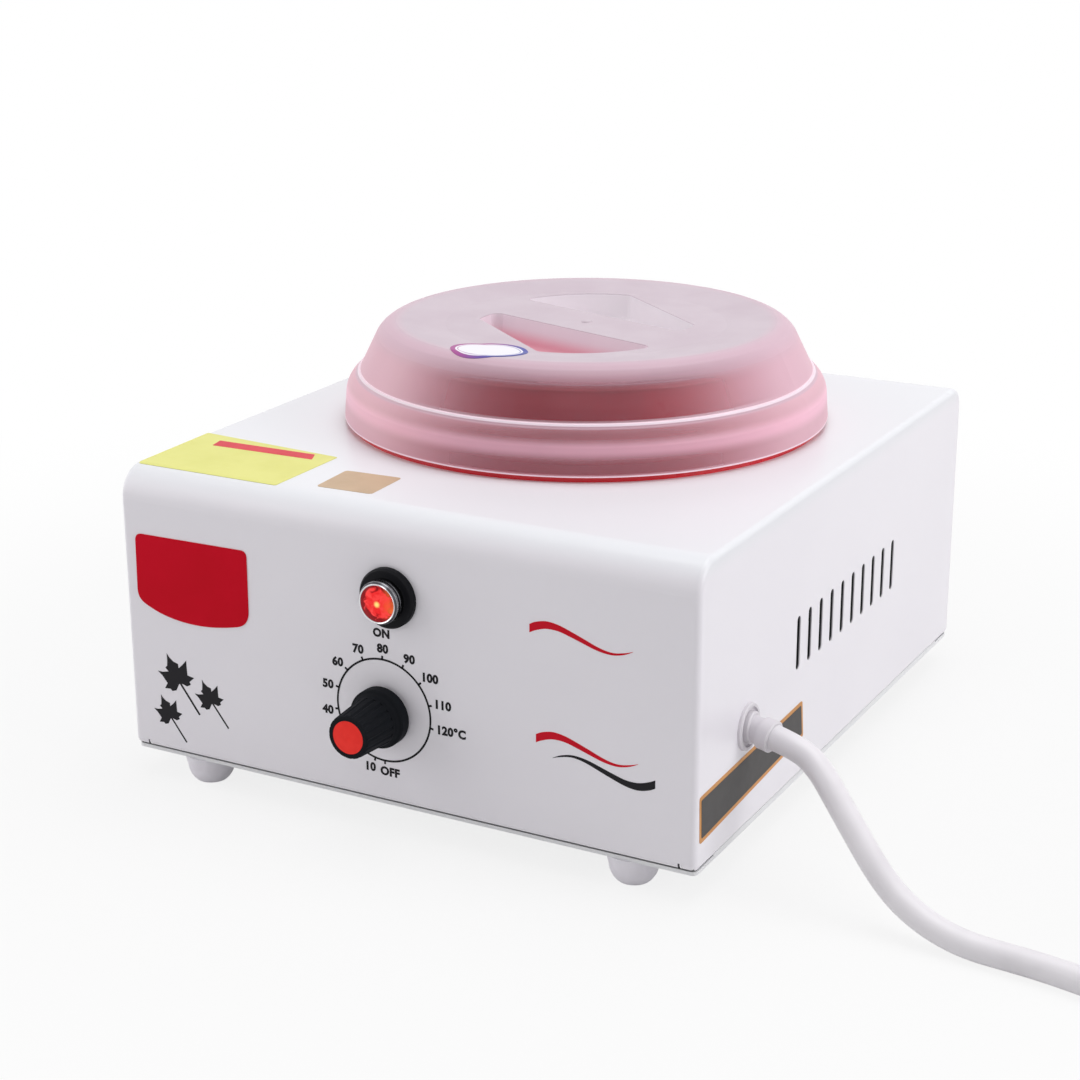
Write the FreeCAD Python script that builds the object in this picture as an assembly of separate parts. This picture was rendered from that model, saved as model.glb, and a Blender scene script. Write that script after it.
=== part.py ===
"""Electric wax heater: a sheet-metal box with a lift-out pot, a moulded lid and a rotary control.

Millimetres, +Z up, the front panel faces -Y. The origin is at the middle of the space that the
heater takes up, on the surface that it stands on. The free mains cord is left out of that middle.
"""
import FreeCAD
import Part
import math
import os

Vector = FreeCAD.Vector
X_AXIS = Vector(1, 0, 0)
Y_AXIS = Vector(0, 1, 0)
Z_AXIS = Vector(0, 0, 1)

# ---- Driving dimensions ---------------------------------------------------------------------

# Casing: one wrapped sheet for front, top and back, closed by two flanged side panels.
casing_width = 200.0
casing_depth = 222.0
casing_height = 93.4
casing_sheet = 1.0
front_bend = 10.0
back_bend = 7.5
lower_bend = 2.2
side_bend = 1.8
side_flange = 5.0
lower_flange = 14.0
relief_width = 0.7
relief_height = 2.3
side_step = 1.0
side_step_inset = 13.0

# Base plate, with a lip along each side that closes the step under the side panel.
base_sheet = 1.2
base_setback = 1.0
base_side_setback = 0.3
base_lip_gap = 0.3
base_slot_width = 3.0
base_slot_length = 24.0
base_slot_pitch = 11.0
base_slot_count = 7
base_slot_offset = 52.0

# Feet and the screws that hold them and the base plate.
foot_height = 9.2
foot_top_radius = 8.5
foot_tip_radius = 5.0
foot_waist_inset = 0.95
foot_belt_share = 0.55
foot_round_share = 0.38
foot_inset_x = 23.6
foot_inset_y = 8.7
foot_bore_radius = 1.7
foot_recess_radius = 3.2
foot_recess_depth = 4.2
foot_screw_radius = 1.5
foot_screw_head_radius = 2.9
foot_screw_head_height = 2.2
nut_clearance = 0.05
foot_nut_flats = 5.5
foot_nut_height = 2.4
foot_screw_tail = 1.4
base_screw_radius = 1.7
base_screw_clear = 0.2
base_screw_head_radius = 3.1
base_screw_head_height = 1.6
base_screw_length = 7.0
base_screw_spread = 48.0
base_screw_count = 3

# Vents: a row of upright slots in each side panel.
vent_count = 10
vent_pitch = 9.2
vent_width = 2.8
vent_length = 17.6
vent_centre_y = 3.85
vent_height = 45.9

# Pot, and the heated well that it drops into.
pot_offset = 14.0
pot_wall = 1.5
pot_radius = 66.0
pot_taper = 3.0
pot_base_corner = 8.0
pot_depth = 62.0
pot_collar_width = 13.6
pot_collar_height = 1.7
pot_neck_step = 1.0
pot_neck_height = 27.0
pot_rim_roll = 1.4
well_clearance = 1.6
well_sheet = 0.8
well_flange = 8.0
well_corner = 6.0
well_seat_gap = 0.3
well_base = 1.5

# Plate heater clamped under the well, its sensor and the insulation around the well.
heater_radius = 52.0
heater_thickness = 3.0
heater_bore = 3.6
heater_tab_offset = 10.0
heater_tab_width = 6.3
heater_tab_length = 10.0
heater_tab_root = 4.0
heater_tab_rise = 1.0
heater_tab_thickness = 0.8
clamp_plate_radius = 46.0
clamp_plate_thickness = 1.5
clamp_rib_height = 2.5
clamp_stud_radius = 3.0
clamp_nut_flats = 10.0
clamp_nut_height = 5.0
clamp_stud_tail = 2.0
blanket_thickness = 9.0
blanket_gap = 0.3
blanket_low = 12.0
blanket_high = 6.0
bulb_radius = 3.0
bulb_length = 56.0
bulb_offset = 22.0
bulb_clip_sheet = 0.6
bulb_clip_clearance = 0.05
bulb_clip_width = 8.0
bulb_clip_tab = 5.0
capillary_radius = 0.8

# Lid: thin moulding with a skirt, a ledge, a domed side and a dished top with two finger wells.
lid_wall = 1.5
lid_rim_clearance = 0.4
lid_dome_rise = 2.0
lid_dome_draft = 5.7
lid_ledge_width = 0.5
lid_ledge_height = 16.4
lid_ledge_bead = 1.0
lid_shoulder_width = 0.7
lid_shoulder_round = 3.5
lid_shoulder_bulge = 0.45
lid_skirt_flare = 0.7
lid_skirt_gap = 1.9
lid_skirt_height = 11.0
lid_head_height = 6.6
lid_crest_inset = 6.7
lid_crest_bulge = (0.5, 0.7)
lid_dish_width = 16.5
lid_dish_depth = 1.7
lid_dish_share = 0.42
lid_seat_gap = 0.3
lid_seat_width = 1.4
grip_angle = -16.5
grip_half_width = 10.8
grip_well_centre_u = 4.0
grip_well_centre_v = 8.0
grip_well_radius = 36.0
grip_well_depth = 11.5
grip_well_draft = 5.0
grip_well_corner = 3.0
grip_well_floor_round = 2.4
grip_well_flat_angle = -22.4
grip_well_flat_distance = 31.3
grip_well_overrun = 2.0

# Rotary control: thermostat body behind the panel, spindle, nut and push-on knob.
control_x = -3.5
control_height = 29.3
thermostat_width = 32.0
thermostat_tall = 34.0
thermostat_thick = 22.0
thermostat_corner = 3.0
thermostat_tab_offset = 7.0
thermostat_tab_width = 6.3
thermostat_tab_length = 8.0
thermostat_tab_rise = 6.0
thermostat_tab_thickness = 0.8
bush_radius = 4.9
bush_clearance = 0.1
bush_reach = 4.1
spindle_radius = 3.0
spindle_flat = 1.5
spindle_flat_lead = 0.3
spindle_clearance = 0.05
spindle_reach = 17.0
spindle_depth = 10.0
washer_radius = 8.0
washer_thickness = 0.8
control_nut_flats = 13.0
control_nut_height = 2.4
knob_gap = 1.2
knob_reach = 20.9
knob_skirt_radius = 9.4
knob_skirt_thickness = 4.2
knob_neck_radius = 7.8
knob_tip_radius = 6.9
knob_recess_radius = 8.1
knob_recess_depth = 3.2
knob_edge = 0.7
knob_chamfer = 0.4
knob_waist_rise = 1.8
knob_waist_round = (0.3, 0.5)
knob_flutes = 18
knob_flute_radius = 0.75
knob_flute_depth = 0.35
knob_flute_start = 0.6
knob_bore_depth = 12.7
cap_radius = 5.2
cap_thickness = 1.6
cap_clearance = 0.05
cap_crown = 0.3

# Pilot lamp: rubber ring, chromed threaded bezel, red lens, holder and nut behind the panel.
lamp_x = -1.0
lamp_height = 67.2
lamp_hole_radius = 6.1
lamp_ring_radius = 9.4
lamp_ring_thickness = 2.2
lamp_ring_chamfer = 0.6
lamp_bezel_radius = 6.7
lamp_bezel_reach = 7.0
lamp_bezel_groove = 0.4
lamp_groove_start = 1.6
lamp_groove_width = 0.7
lamp_rim_slope = 1.0
lamp_rim_land = 0.35
lamp_barrel_radius = 5.9
lamp_barrel_wall = 1.1
lamp_barrel_length = 17.0
lamp_lens_radius = 5.7
lamp_lens_crown = 1.0
lamp_lens_depth = 5.0
lamp_lens_inset = 0.2
lamp_nut_flats = 15.0
lamp_nut_height = 3.0
lamp_holder_radius = 4.6
lamp_holder_length = 24.0
lamp_holder_gap = 0.3

# Cord bushing in the right side panel.
gland_y = -76.0
gland_height = 32.8
gland_hole_radius = 6.3
gland_flange_radius = 7.3
gland_flange_thickness = 1.2
gland_groove_outer = 6.1
gland_groove_inner = 4.9
gland_groove_depth = 0.8
gland_boss_reach = 2.4
gland_neck_start = 1.0
gland_neck_radius = 4.1
gland_neck_length = 8.5
gland_collar_length = 3.9
gland_collar_radius = 4.9
gland_lean_forward = 0.176
gland_lean_down = 0.143
gland_edge = 0.4
gland_tail_radius = 5.1
gland_tail_length = 13.0
gland_barb_radius = 6.8
gland_barb_length = 4.0
gland_clearance = 0.1

# Terminal block on the base plate.
block_x = 52.0
block_flange_gap = 1.0
block_length = 32.0
block_width = 18.0
block_height = 15.0
block_pole_pitch = 10.0
block_corner = 2.0
block_entry_radius = 2.2
block_entry_depth = 5.0
block_entry_share = 0.45
block_screw_radius = 2.0
block_screw_length = 3.5
block_screw_gap = 0.4
block_screw_well = 5.0
earth_x = 76.0
earth_y = -44.0
earth_screw_radius = 2.0
earth_head_radius = 3.4
earth_head_height = 1.8
earth_washer_radius = 4.5
earth_tongue_reach = 11.0
earth_tongue_width = 5.0
earth_washer_thickness = 0.8
earth_nut_flats = 7.0
earth_nut_height = 3.2
earth_tail = 4.0

# Wiring inside the casing.
wire_radius = 1.2
lamp_wire_radius = 0.8
lamp_wire_offset = 2.5
wire_spread = 2.6

# Mains cord: its free stretch is a chosen route, and the rest is wound in a coil.
cord_radius = 3.9
cord_first_run = 8.9
cord_route = [
    (125.5, -71.9, 37.6),
    (133.0, -76.6, 31.2),
    (140.8, -80.9, 23.9),
    (148.7, -84.9, 16.4),
    (157.1, -88.3, 10.3),
    (167.7, -90.9, 5.9),
    (178.8, -92.5, 3.9),
    (190.3, -93.3, 3.9),
    (202.1, -94.6, 3.9),
    (213.9, -97.1, 3.9),
]
cord_last_run = 12.6
coil_centre = (275.0, -45.2)
coil_mean_radius = 46.8
coil_lower_turns = 2.0
coil_rise_turns = 0.25
coil_upper_turns = 2.125
coil_slack = 0.25
coil_lead_in = 35.0
coil_lead_out = 30.0
tie_width = 9.0
tie_thickness = 0.8
tie_angle = 200.0
plug_width = 40.0
plug_length = 40.0
plug_throat_width = 18.0
plug_taper_length = 12.0
plug_nose_bow = 12.0
plug_sleeve_length = 16.0
plug_sleeve_radius = 5.6
plug_sleeve_tip_radius = 4.6
plug_round = 3.0
plug_pin_start = 9.0
plug_pin_chamfer = 0.8
plug_pin_radius = 2.55
plug_pin_length = 15.0
plug_pin_spacing = 19.0
plug_earth_radius = 3.55
plug_earth_length = 17.5
plug_earth_offset = 22.2

# ---- Positions that follow from the dimensions ----------------------------------------------

casing_bottom = foot_height + base_sheet
casing_top = casing_bottom + casing_height
front_y = -(casing_depth - knob_reach) / 2
back_y = front_y + casing_depth
centre_y = (front_y + back_y) / 2
side_x = casing_width / 2
panel_inner_y = front_y + casing_sheet
pot_y = centre_y + pot_offset
pot_base_radius = pot_radius - pot_taper
pot_collar_radius = pot_radius + pot_collar_width
pot_neck_radius = pot_radius + pot_neck_step
pot_rim_radius = pot_neck_radius - pot_wall + 2 * pot_rim_roll
well_radius = pot_radius + well_clearance
well_outer = well_radius + well_sheet
well_floor_top = casing_top - pot_depth - well_seat_gap
well_floor_low = well_floor_top - well_base
lid_dome_high_radius = pot_rim_radius + lid_rim_clearance + lid_wall
lid_dome_low_radius = lid_dome_high_radius + lid_dome_draft
lid_ledge_radius = lid_dome_low_radius + lid_ledge_width
lid_shoulder_radius = lid_ledge_radius + lid_shoulder_width
lid_skirt_top_radius = lid_shoulder_radius + lid_shoulder_round
lid_skirt_radius = lid_skirt_top_radius + lid_skirt_flare
lid_crest_radius = lid_dome_high_radius - lid_crest_inset
lid_dish_radius = lid_crest_radius - lid_dish_width
lid_dome_height = pot_neck_height + lid_dome_rise
lid_height = pot_neck_height + lid_head_height
control_z = casing_bottom + control_height
lamp_z = casing_bottom + lamp_height
lamp_back_y = panel_inner_y + lamp_holder_length
gland_y_row = centre_y + gland_y
gland_z = casing_bottom + gland_height
gland_heading = Vector(1, -gland_lean_forward, -gland_lean_down).normalize()
gland_neck_point = Vector(side_x + gland_neck_start, gland_y_row, gland_z)
block_y = front_y + lower_flange + block_flange_gap + block_length / 2
block_entry_z = casing_bottom + block_entry_share * block_height
cord_pitch = 2 * cord_radius
coil_first_radius = coil_mean_radius + cord_pitch * coil_lower_turns / 2
coil_inner_radius = coil_first_radius - cord_pitch * coil_lower_turns
coil_last_radius = coil_inner_radius + cord_pitch * coil_upper_turns
coil_low_edge = coil_inner_radius - cord_radius
coil_high_edge = max(coil_first_radius, coil_last_radius) + cord_radius

os.makedirs("parts", exist_ok=True)


# ---- Shared operations ----------------------------------------------------------------------

def save(name, shape):
    """Write one node, and say so when a solid is not sound."""
    if not shape.isValid():
        print("not valid:", name)
    shape.exportStep("parts/%s.step" % name)


def cylinder(radius, length, start, direction):
    return Part.makeCylinder(radius, length, start, direction)


def box(low, high):
    size = Vector(*high) - Vector(*low)
    return Part.makeBox(size.x, size.y, size.z, Vector(*low))


def hexagon(flats, height, start, direction):
    """A hexagonal prism measured across its flats."""
    radius = flats / math.sqrt(3)
    corners = []
    for step in range(7):
        angle = math.radians(60 * step)
        corners.append(Vector(radius * math.cos(angle), radius * math.sin(angle), 0))
    prism = Part.Face(Part.makePolygon(corners)).extrude(Vector(0, 0, height))
    prism.Placement = FreeCAD.Placement(start, FreeCAD.Rotation(Z_AXIS, direction))
    return prism


def turned(profile, start, direction):
    """Turn a closed outline of (radius, height) points about a line."""
    points = [Vector(radius, 0, height) for radius, height in profile]
    face = Part.Face(Part.makePolygon(points + [points[0]]))
    solid = face.revolve(Vector(0, 0, 0), Z_AXIS, 360)
    solid.Placement = FreeCAD.Placement(start, FreeCAD.Rotation(Z_AXIS, direction))
    return solid


def turned_wire(edges, start, direction):
    """Turn a closed outline of edges drawn in the XZ plane about a line."""
    face = Part.Face(Part.Wire(edges))
    solid = face.revolve(Vector(0, 0, 0), Z_AXIS, 360)
    solid.Placement = FreeCAD.Placement(start, FreeCAD.Rotation(Z_AXIS, direction))
    return solid


def at(radius, height):
    return Vector(radius, 0, height)


def line(a, b):
    return Part.LineSegment(a, b).toShape()


def arc(a, middle, b):
    return Part.Arc(a, middle, b).toShape()


def corner_arc(centre, radius, start_angle, end_angle):
    """An arc in the XZ plane about a centre, from one angle to another in degrees."""
    def point(angle):
        turn = math.radians(angle)
        return Vector(centre.x + radius * math.cos(turn), 0, centre.z + radius * math.sin(turn))
    return arc(point(start_angle), point((start_angle + end_angle) / 2), point(end_angle))


def dome_arc(radius, edge_height, crown):
    """The arc of a shallow dome about the axis, from its edge to its crown."""
    sphere = (radius * radius + crown * crown) / (2 * crown)
    centre = at(0, edge_height + crown - sphere)
    edge_angle = math.degrees(math.atan2(edge_height - centre.z, radius))
    return corner_arc(centre, sphere, edge_angle, 90)


def joined_path(points, report=None):
    """Straight runs joined by arcs that are as large as the two runs beside them allow."""
    points = [Vector(*point) for point in points]
    edges = []
    start = points[0]
    radii = []
    for before, corner, after in zip(points, points[1:], points[2:]):
        arriving = (corner - before).normalize()
        leaving = (after - corner).normalize()
        turn = arriving.getAngle(leaving)
        shorter = min((corner - before).Length, (after - corner).Length)
        reach = 0.45 * shorter
        radius = reach / math.tan(turn / 2)
        first = corner - arriving * reach
        last = corner + leaving * reach
        inward = (leaving - arriving).normalize()
        middle = corner + inward * (radius / math.cos(turn / 2) - radius)
        edges.append(line(start, first))
        edges.append(arc(first, middle, last))
        radii.append(radius)
        start = last
    edges.append(line(start, points[-1]))
    if report:
        print(report, "arc radii:", ", ".join("%.1f" % radius for radius in radii))
    return Part.Wire(edges)


def tube(points, radius, report=None):
    """A round cord or wire along a path of runs and arcs."""
    path = joined_path(points, report)
    start = Vector(*points[0])
    heading = (Vector(*points[1]) - start).normalize()
    section = Part.Wire(Part.makeCircle(radius, start, heading))
    solid = path.makePipeShell([section], True, True)
    if report:
        expected = math.pi * radius * radius * path.Length
        print("%s length %.1f mm, volume %.1f, section x length %.1f"
              % (report, path.Length, solid.Volume, expected))
    return solid


# ---- Casing: wrapped sheet, side panels and base plate --------------------------------------

def casing_outline(inset, x):
    """The casing's side view at a given inset from its outer face, at one X."""
    low_y = front_y + inset
    high_y = back_y - inset
    low_z = casing_bottom + inset
    high_z = casing_top - inset
    lower = lower_bend - inset
    front = front_bend - inset
    back = back_bend - inset

    def p(y, z):
        return Vector(x, y, z)

    def bend(cy, cz, radius, start_angle):
        points = []
        for angle in (start_angle, start_angle - 45, start_angle - 90):
            turn = math.radians(angle)
            points.append(p(cy + radius * math.cos(turn), cz + radius * math.sin(turn)))
        return arc(*points)

    edges = [
        line(p(low_y, low_z + lower), p(low_y, high_z - front)),
        bend(low_y + front, high_z - front, front, 180),
        line(p(low_y + front, high_z), p(high_y - back, high_z)),
        bend(high_y - back, high_z - back, back, 90),
        line(p(high_y, high_z - back), p(high_y, low_z + lower)),
        bend(high_y - lower, low_z + lower, lower, 0),
        line(p(high_y - lower, low_z), p(low_y + lower, low_z)),
        bend(low_y + lower, low_z + lower, lower, -90),
    ]
    return Part.Face(Part.Wire(edges))


def slot(centre, length, width, depth, along, through):
    """A round-ended slot cutter: a bar with a rod at each end."""
    half = along * ((length - width) / 2)
    across = along.cross(through)
    corner = centre - half - across * (width / 2) - through * (depth / 2)
    a = corner
    b = corner + half * 2
    c = b + across * width
    d = corner + across * width
    bar = Part.Face(Part.makePolygon([a, b, c, d, a])).extrude(through * depth)
    cutter = bar
    for sign in (-1, 1):
        foot = centre + half * sign - through * (depth / 2)
        cutter = cutter.fuse(cylinder(width / 2, depth, foot, through))
    return cutter


def base_screw_places():
    """Points on the lower flanges where the base plate is screwed to the casing."""
    step = 2 * base_screw_spread / (base_screw_count - 1)
    places = []
    for y in (front_y + lower_flange / 2, back_y - lower_flange / 2):
        for index in range(base_screw_count):
            places.append((-base_screw_spread + index * step, y))
    return places


def foot_places():
    names = {}
    for depth_name, y in (("front", front_y + foot_inset_y), ("rear", back_y - foot_inset_y)):
        for side_name, x in (("left", -side_x + foot_inset_x), ("right", side_x - foot_inset_x)):
            names["foot_%s_%s" % (depth_name, side_name)] = (x, y)
    return names


def casing_wrap():
    """Front, top and back in one sheet, with a flange turned in under the front and the back."""
    half = side_x - side_flange
    span = Vector(2 * half, 0, 0)
    outer = casing_outline(0, -half).extrude(span)
    inner = casing_outline(casing_sheet, -half).extrude(span)
    shell = outer.cut(inner)
    opening = box((-half, front_y + lower_flange, casing_bottom - 1),
                  (half, back_y - lower_flange, casing_bottom + 2 * casing_sheet))
    shell = shell.cut(opening)
    hole = cylinder(well_radius, 4 * casing_sheet,
                    Vector(0, pot_y, casing_top - 2 * casing_sheet), Z_AXIS)
    shell = shell.cut(hole)
    for radius, x, z in ((bush_radius + bush_clearance, control_x, control_z),
                         (lamp_hole_radius, lamp_x, lamp_z)):
        shell = shell.cut(cylinder(radius, 4 * casing_sheet,
                                   Vector(x, front_y - casing_sheet, z), Y_AXIS))
    for x, y in base_screw_places():
        shell = shell.cut(cylinder(base_screw_radius + base_screw_clear / 2, 4 * casing_sheet,
                                   Vector(x, y, casing_bottom - casing_sheet), Z_AXIS))
    for x, y in foot_places().values():
        shell = shell.cut(cylinder(foot_bore_radius, 4 * casing_sheet,
                                   Vector(x, y, casing_bottom - casing_sheet), Z_AXIS))
    for x in (-half, half - relief_width):
        for y in (front_y - 1, back_y - lower_bend - casing_sheet):
            slit = box((x, y, casing_bottom - 1),
                       (x + relief_width, y + lower_bend + casing_sheet + 1,
                        casing_bottom + relief_height))
            shell = shell.cut(slit)
    return shell


def side_panel():
    """The right-hand side panel: a shallow pan whose rim butts against the wrapped sheet."""
    outer_x = side_x - side_flange
    outer = casing_outline(0, outer_x).extrude(Vector(side_flange, 0, 0))
    rim = [edge for edge in outer.Edges
           if abs(edge.BoundBox.XMin - side_x) < 1e-6 and abs(edge.BoundBox.XMax - side_x) < 1e-6]
    outer = outer.makeFillet(side_bend, rim)
    hollow_depth = side_flange - casing_sheet
    inner = casing_outline(casing_sheet, outer_x).extrude(Vector(hollow_depth, 0, 0))
    inner_face_x = outer_x + hollow_depth
    rim = [edge for edge in inner.Edges
           if abs(edge.BoundBox.XMin - inner_face_x) < 1e-6
           and abs(edge.BoundBox.XMax - inner_face_x) < 1e-6]
    inner = inner.makeFillet(side_bend - casing_sheet, rim)
    panel = outer.cut(inner)
    step = box((outer_x - 1, front_y + side_step_inset, casing_bottom - 1),
               (side_x + 1, back_y - side_step_inset, casing_bottom + side_step))
    panel = panel.cut(step)
    first = centre_y + vent_centre_y - vent_pitch * (vent_count - 1) / 2
    for index in range(vent_count):
        centre = Vector(side_x, first + index * vent_pitch, casing_bottom + vent_height)
        panel = panel.cut(slot(centre, vent_length, vent_width, 4 * casing_sheet, Z_AXIS, X_AXIS))
    return panel


def right_side_panel():
    """The same panel with the round hole for the cord bushing."""
    hole = cylinder(gland_hole_radius, 4 * casing_sheet,
                    Vector(side_x - 2 * casing_sheet, gland_y_row, gland_z), X_AXIS)
    return side_panel().cut(hole)


def base_plate():
    """The flat bottom, with slots that let cool air in and a lip under each side panel."""
    half = side_x - base_side_setback
    low_y = front_y + base_setback
    high_y = back_y - base_setback
    plate = box((-half, low_y, foot_height), (half, high_y, casing_bottom))
    upright = [edge for edge in plate.Edges if abs(edge.BoundBox.ZLength - base_sheet) < 1e-6]
    plate = plate.makeFillet(side_bend, upright)
    lip_low_y = front_y + side_step_inset + base_lip_gap
    lip_high_y = back_y - side_step_inset - base_lip_gap
    lip_top = casing_bottom + side_step - base_lip_gap
    for sign in (-1, 1):
        xs = sorted((sign * half, sign * (half - base_sheet)))
        plate = plate.fuse(box((xs[0], lip_low_y, foot_height), (xs[1], lip_high_y, lip_top)))
    plate = plate.removeSplitter()
    for x, y in foot_places().values():
        plate = plate.cut(cylinder(foot_bore_radius, 4 * base_sheet,
                                   Vector(x, y, foot_height - base_sheet), Z_AXIS))
    for x, y in base_screw_places():
        plate = plate.cut(cylinder(base_screw_radius + base_screw_clear, 4 * base_sheet,
                                   Vector(x, y, foot_height - base_sheet), Z_AXIS))
    plate = plate.cut(cylinder(earth_screw_radius + base_screw_clear, 4 * base_sheet,
                               Vector(earth_x, earth_y, foot_height - base_sheet), Z_AXIS))
    for row_y in (pot_y - base_slot_offset, pot_y + base_slot_offset):
        first = -base_slot_pitch * (base_slot_count - 1) / 2
        for index in range(base_slot_count):
            centre = Vector(first + index * base_slot_pitch, row_y, casing_bottom)
            plate = plate.cut(slot(centre, base_slot_length, base_slot_width, 6 * base_sheet,
                                   Y_AXIS, Z_AXIS))
    return plate


def base_screws():
    """Pan-head screws through the base plate into the casing's lower flanges."""
    screws = []
    for x, y in base_screw_places():
        head = cylinder(base_screw_head_radius, base_screw_head_height,
                        Vector(x, y, foot_height - base_screw_head_height), Z_AXIS)
        shank = cylinder(base_screw_radius, base_screw_length, Vector(x, y, foot_height), Z_AXIS)
        screws.append(head.fuse(shank).removeSplitter())
    return Part.makeCompound(screws)


# ---- Feet -----------------------------------------------------------------------------------

def foot(x, y):
    """A domed rubber foot with a recess for its screw head."""
    top = foot_height
    belt = foot_height * foot_belt_share
    round_radius = foot_top_radius - 2 * foot_waist_inset
    edges = [
        line(at(foot_bore_radius, top), at(foot_top_radius, top)),
        line(at(foot_top_radius, top), at(foot_top_radius - foot_waist_inset, belt)),
        arc(at(foot_top_radius - foot_waist_inset, belt), at(round_radius, belt * foot_round_share),
            at(foot_tip_radius, 0)),
        line(at(foot_tip_radius, 0), at(foot_recess_radius, 0)),
        line(at(foot_recess_radius, 0), at(foot_recess_radius, foot_recess_depth)),
        line(at(foot_recess_radius, foot_recess_depth), at(foot_bore_radius, foot_recess_depth)),
        line(at(foot_bore_radius, foot_recess_depth), at(foot_bore_radius, top)),
    ]
    return turned_wire(edges, Vector(x, y, 0), Z_AXIS)


def foot_screws():
    screws = []
    nut_top = casing_bottom + casing_sheet + foot_nut_height
    length = nut_top + foot_screw_tail - foot_recess_depth
    for x, y in foot_places().values():
        seat = foot_recess_depth
        head = cylinder(foot_screw_head_radius, foot_screw_head_height,
                        Vector(x, y, seat - foot_screw_head_height), Z_AXIS)
        shank = cylinder(foot_screw_radius, length, Vector(x, y, seat), Z_AXIS)
        screws.append(head.fuse(shank).removeSplitter())
    return Part.makeCompound(screws)


def ring_nut(flats, height, bore, start, direction):
    blank = hexagon(flats, height, start, direction)
    return blank.cut(cylinder(bore + nut_clearance, 3 * height, start - direction * height,
                              direction))


def foot_nuts():
    nuts = []
    for x, y in foot_places().values():
        nuts.append(ring_nut(foot_nut_flats, foot_nut_height, foot_screw_radius,
                             Vector(x, y, casing_bottom + casing_sheet), Z_AXIS))
    return Part.makeCompound(nuts)


# ---- Pot, well and heater -------------------------------------------------------------------

def pot():
    """A spun pot: tapered wall, folded collar that rests on the casing, neck and rolled rim."""
    base = -pot_depth
    r_in = pot_base_radius - pot_wall
    corner = pot_base_corner
    inner_corner = corner - pot_wall
    roll_centre = at(pot_neck_radius - pot_wall + pot_rim_roll, pot_neck_height - pot_rim_roll)
    edges = [
        line(at(0, base), at(pot_base_radius - corner, base)),
        corner_arc(at(pot_base_radius - corner, base + corner), corner, -90, 0),
        line(at(pot_base_radius, base + corner), at(pot_radius, 0)),
        line(at(pot_radius, 0), at(pot_collar_radius, 0)),
        line(at(pot_collar_radius, 0), at(pot_collar_radius, pot_collar_height)),
        line(at(pot_collar_radius, pot_collar_height), at(pot_neck_radius, pot_collar_height)),
        line(at(pot_neck_radius, pot_collar_height), at(pot_neck_radius, roll_centre.z)),
        line(at(pot_neck_radius, roll_centre.z), roll_centre + Vector(pot_rim_roll, 0, 0)),
        corner_arc(roll_centre, pot_rim_roll, 0, 180),
        line(roll_centre - Vector(pot_rim_roll, 0, 0), at(pot_neck_radius - pot_wall, 0)),
        line(at(pot_neck_radius - pot_wall, 0), at(r_in, base + corner)),
        corner_arc(at(r_in - inner_corner, base + pot_wall + inner_corner), inner_corner, 0, -90),
        line(at(r_in - inner_corner, base + pot_wall), at(0, base + pot_wall)),
        line(at(0, base + pot_wall), at(0, base)),
    ]
    return turned_wire(edges, Vector(0, pot_y, casing_top), Z_AXIS)


def heater_well():
    """A drawn cup hung under the top sheet by its flange, with a thick flat floor."""
    top = casing_top - casing_sheet
    wall_low = well_floor_low + well_corner
    chamfer = well_corner - well_sheet
    edges = [
        line(at(well_radius, top), at(well_radius + well_flange, top)),
        line(at(well_radius + well_flange, top), at(well_radius + well_flange, top - well_sheet)),
        line(at(well_radius + well_flange, top - well_sheet), at(well_outer, top - well_sheet)),
        line(at(well_outer, top - well_sheet), at(well_outer, wall_low)),
        corner_arc(at(well_outer - well_corner, wall_low), well_corner, 0, -90),
        line(at(well_outer - well_corner, well_floor_low), at(0, well_floor_low)),
        line(at(0, well_floor_low), at(0, well_floor_top)),
        line(at(0, well_floor_top), at(well_radius - chamfer, well_floor_top)),
        line(at(well_radius - chamfer, well_floor_top), at(well_radius, well_floor_top + chamfer)),
        line(at(well_radius, well_floor_top + chamfer), at(well_radius, top)),
    ]
    return turned_wire(edges, Vector(0, pot_y, 0), Z_AXIS)


def heater_plate():
    """A flat mica element with two tabs, pressed against the well's floor."""
    low = well_floor_low - heater_thickness
    disc = cylinder(heater_radius, heater_thickness, Vector(0, pot_y, low), Z_AXIS)
    tab_low = low + heater_tab_rise
    for x in (-heater_tab_offset, heater_tab_offset):
        inner_y = pot_y - heater_radius + heater_tab_root
        outer_y = pot_y - heater_radius - heater_tab_length
        disc = disc.fuse(box((x - heater_tab_width / 2, outer_y, tab_low),
                             (x + heater_tab_width / 2, inner_y, tab_low + heater_tab_thickness)))
    bore = cylinder(heater_bore, 3 * heater_thickness,
                    Vector(0, pot_y, low - heater_thickness), Z_AXIS)
    return disc.cut(bore).removeSplitter()


def clamp_plate():
    """A dished steel disc that presses the element up, stiffened by a turned-down rim."""
    top = well_floor_low - heater_thickness
    low = top - clamp_plate_thickness
    rim_low = low - clamp_rib_height
    profile = [
        (heater_bore, low), (heater_bore, top), (clamp_plate_radius, top),
        (clamp_plate_radius, rim_low), (clamp_plate_radius - clamp_plate_thickness, rim_low),
        (clamp_plate_radius - clamp_plate_thickness, low),
    ]
    return turned(profile, Vector(0, pot_y, 0), Z_AXIS)


def clamp_stud():
    """The welded stud under the well's floor."""
    length = (heater_thickness + clamp_plate_thickness + clamp_nut_height + clamp_stud_tail)
    return cylinder(clamp_stud_radius, length, Vector(0, pot_y, well_floor_low), -Z_AXIS)


def clamp_nut():
    start = Vector(0, pot_y, well_floor_low - heater_thickness - clamp_plate_thickness)
    return ring_nut(clamp_nut_flats, clamp_nut_height, clamp_stud_radius, start, -Z_AXIS)


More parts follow.
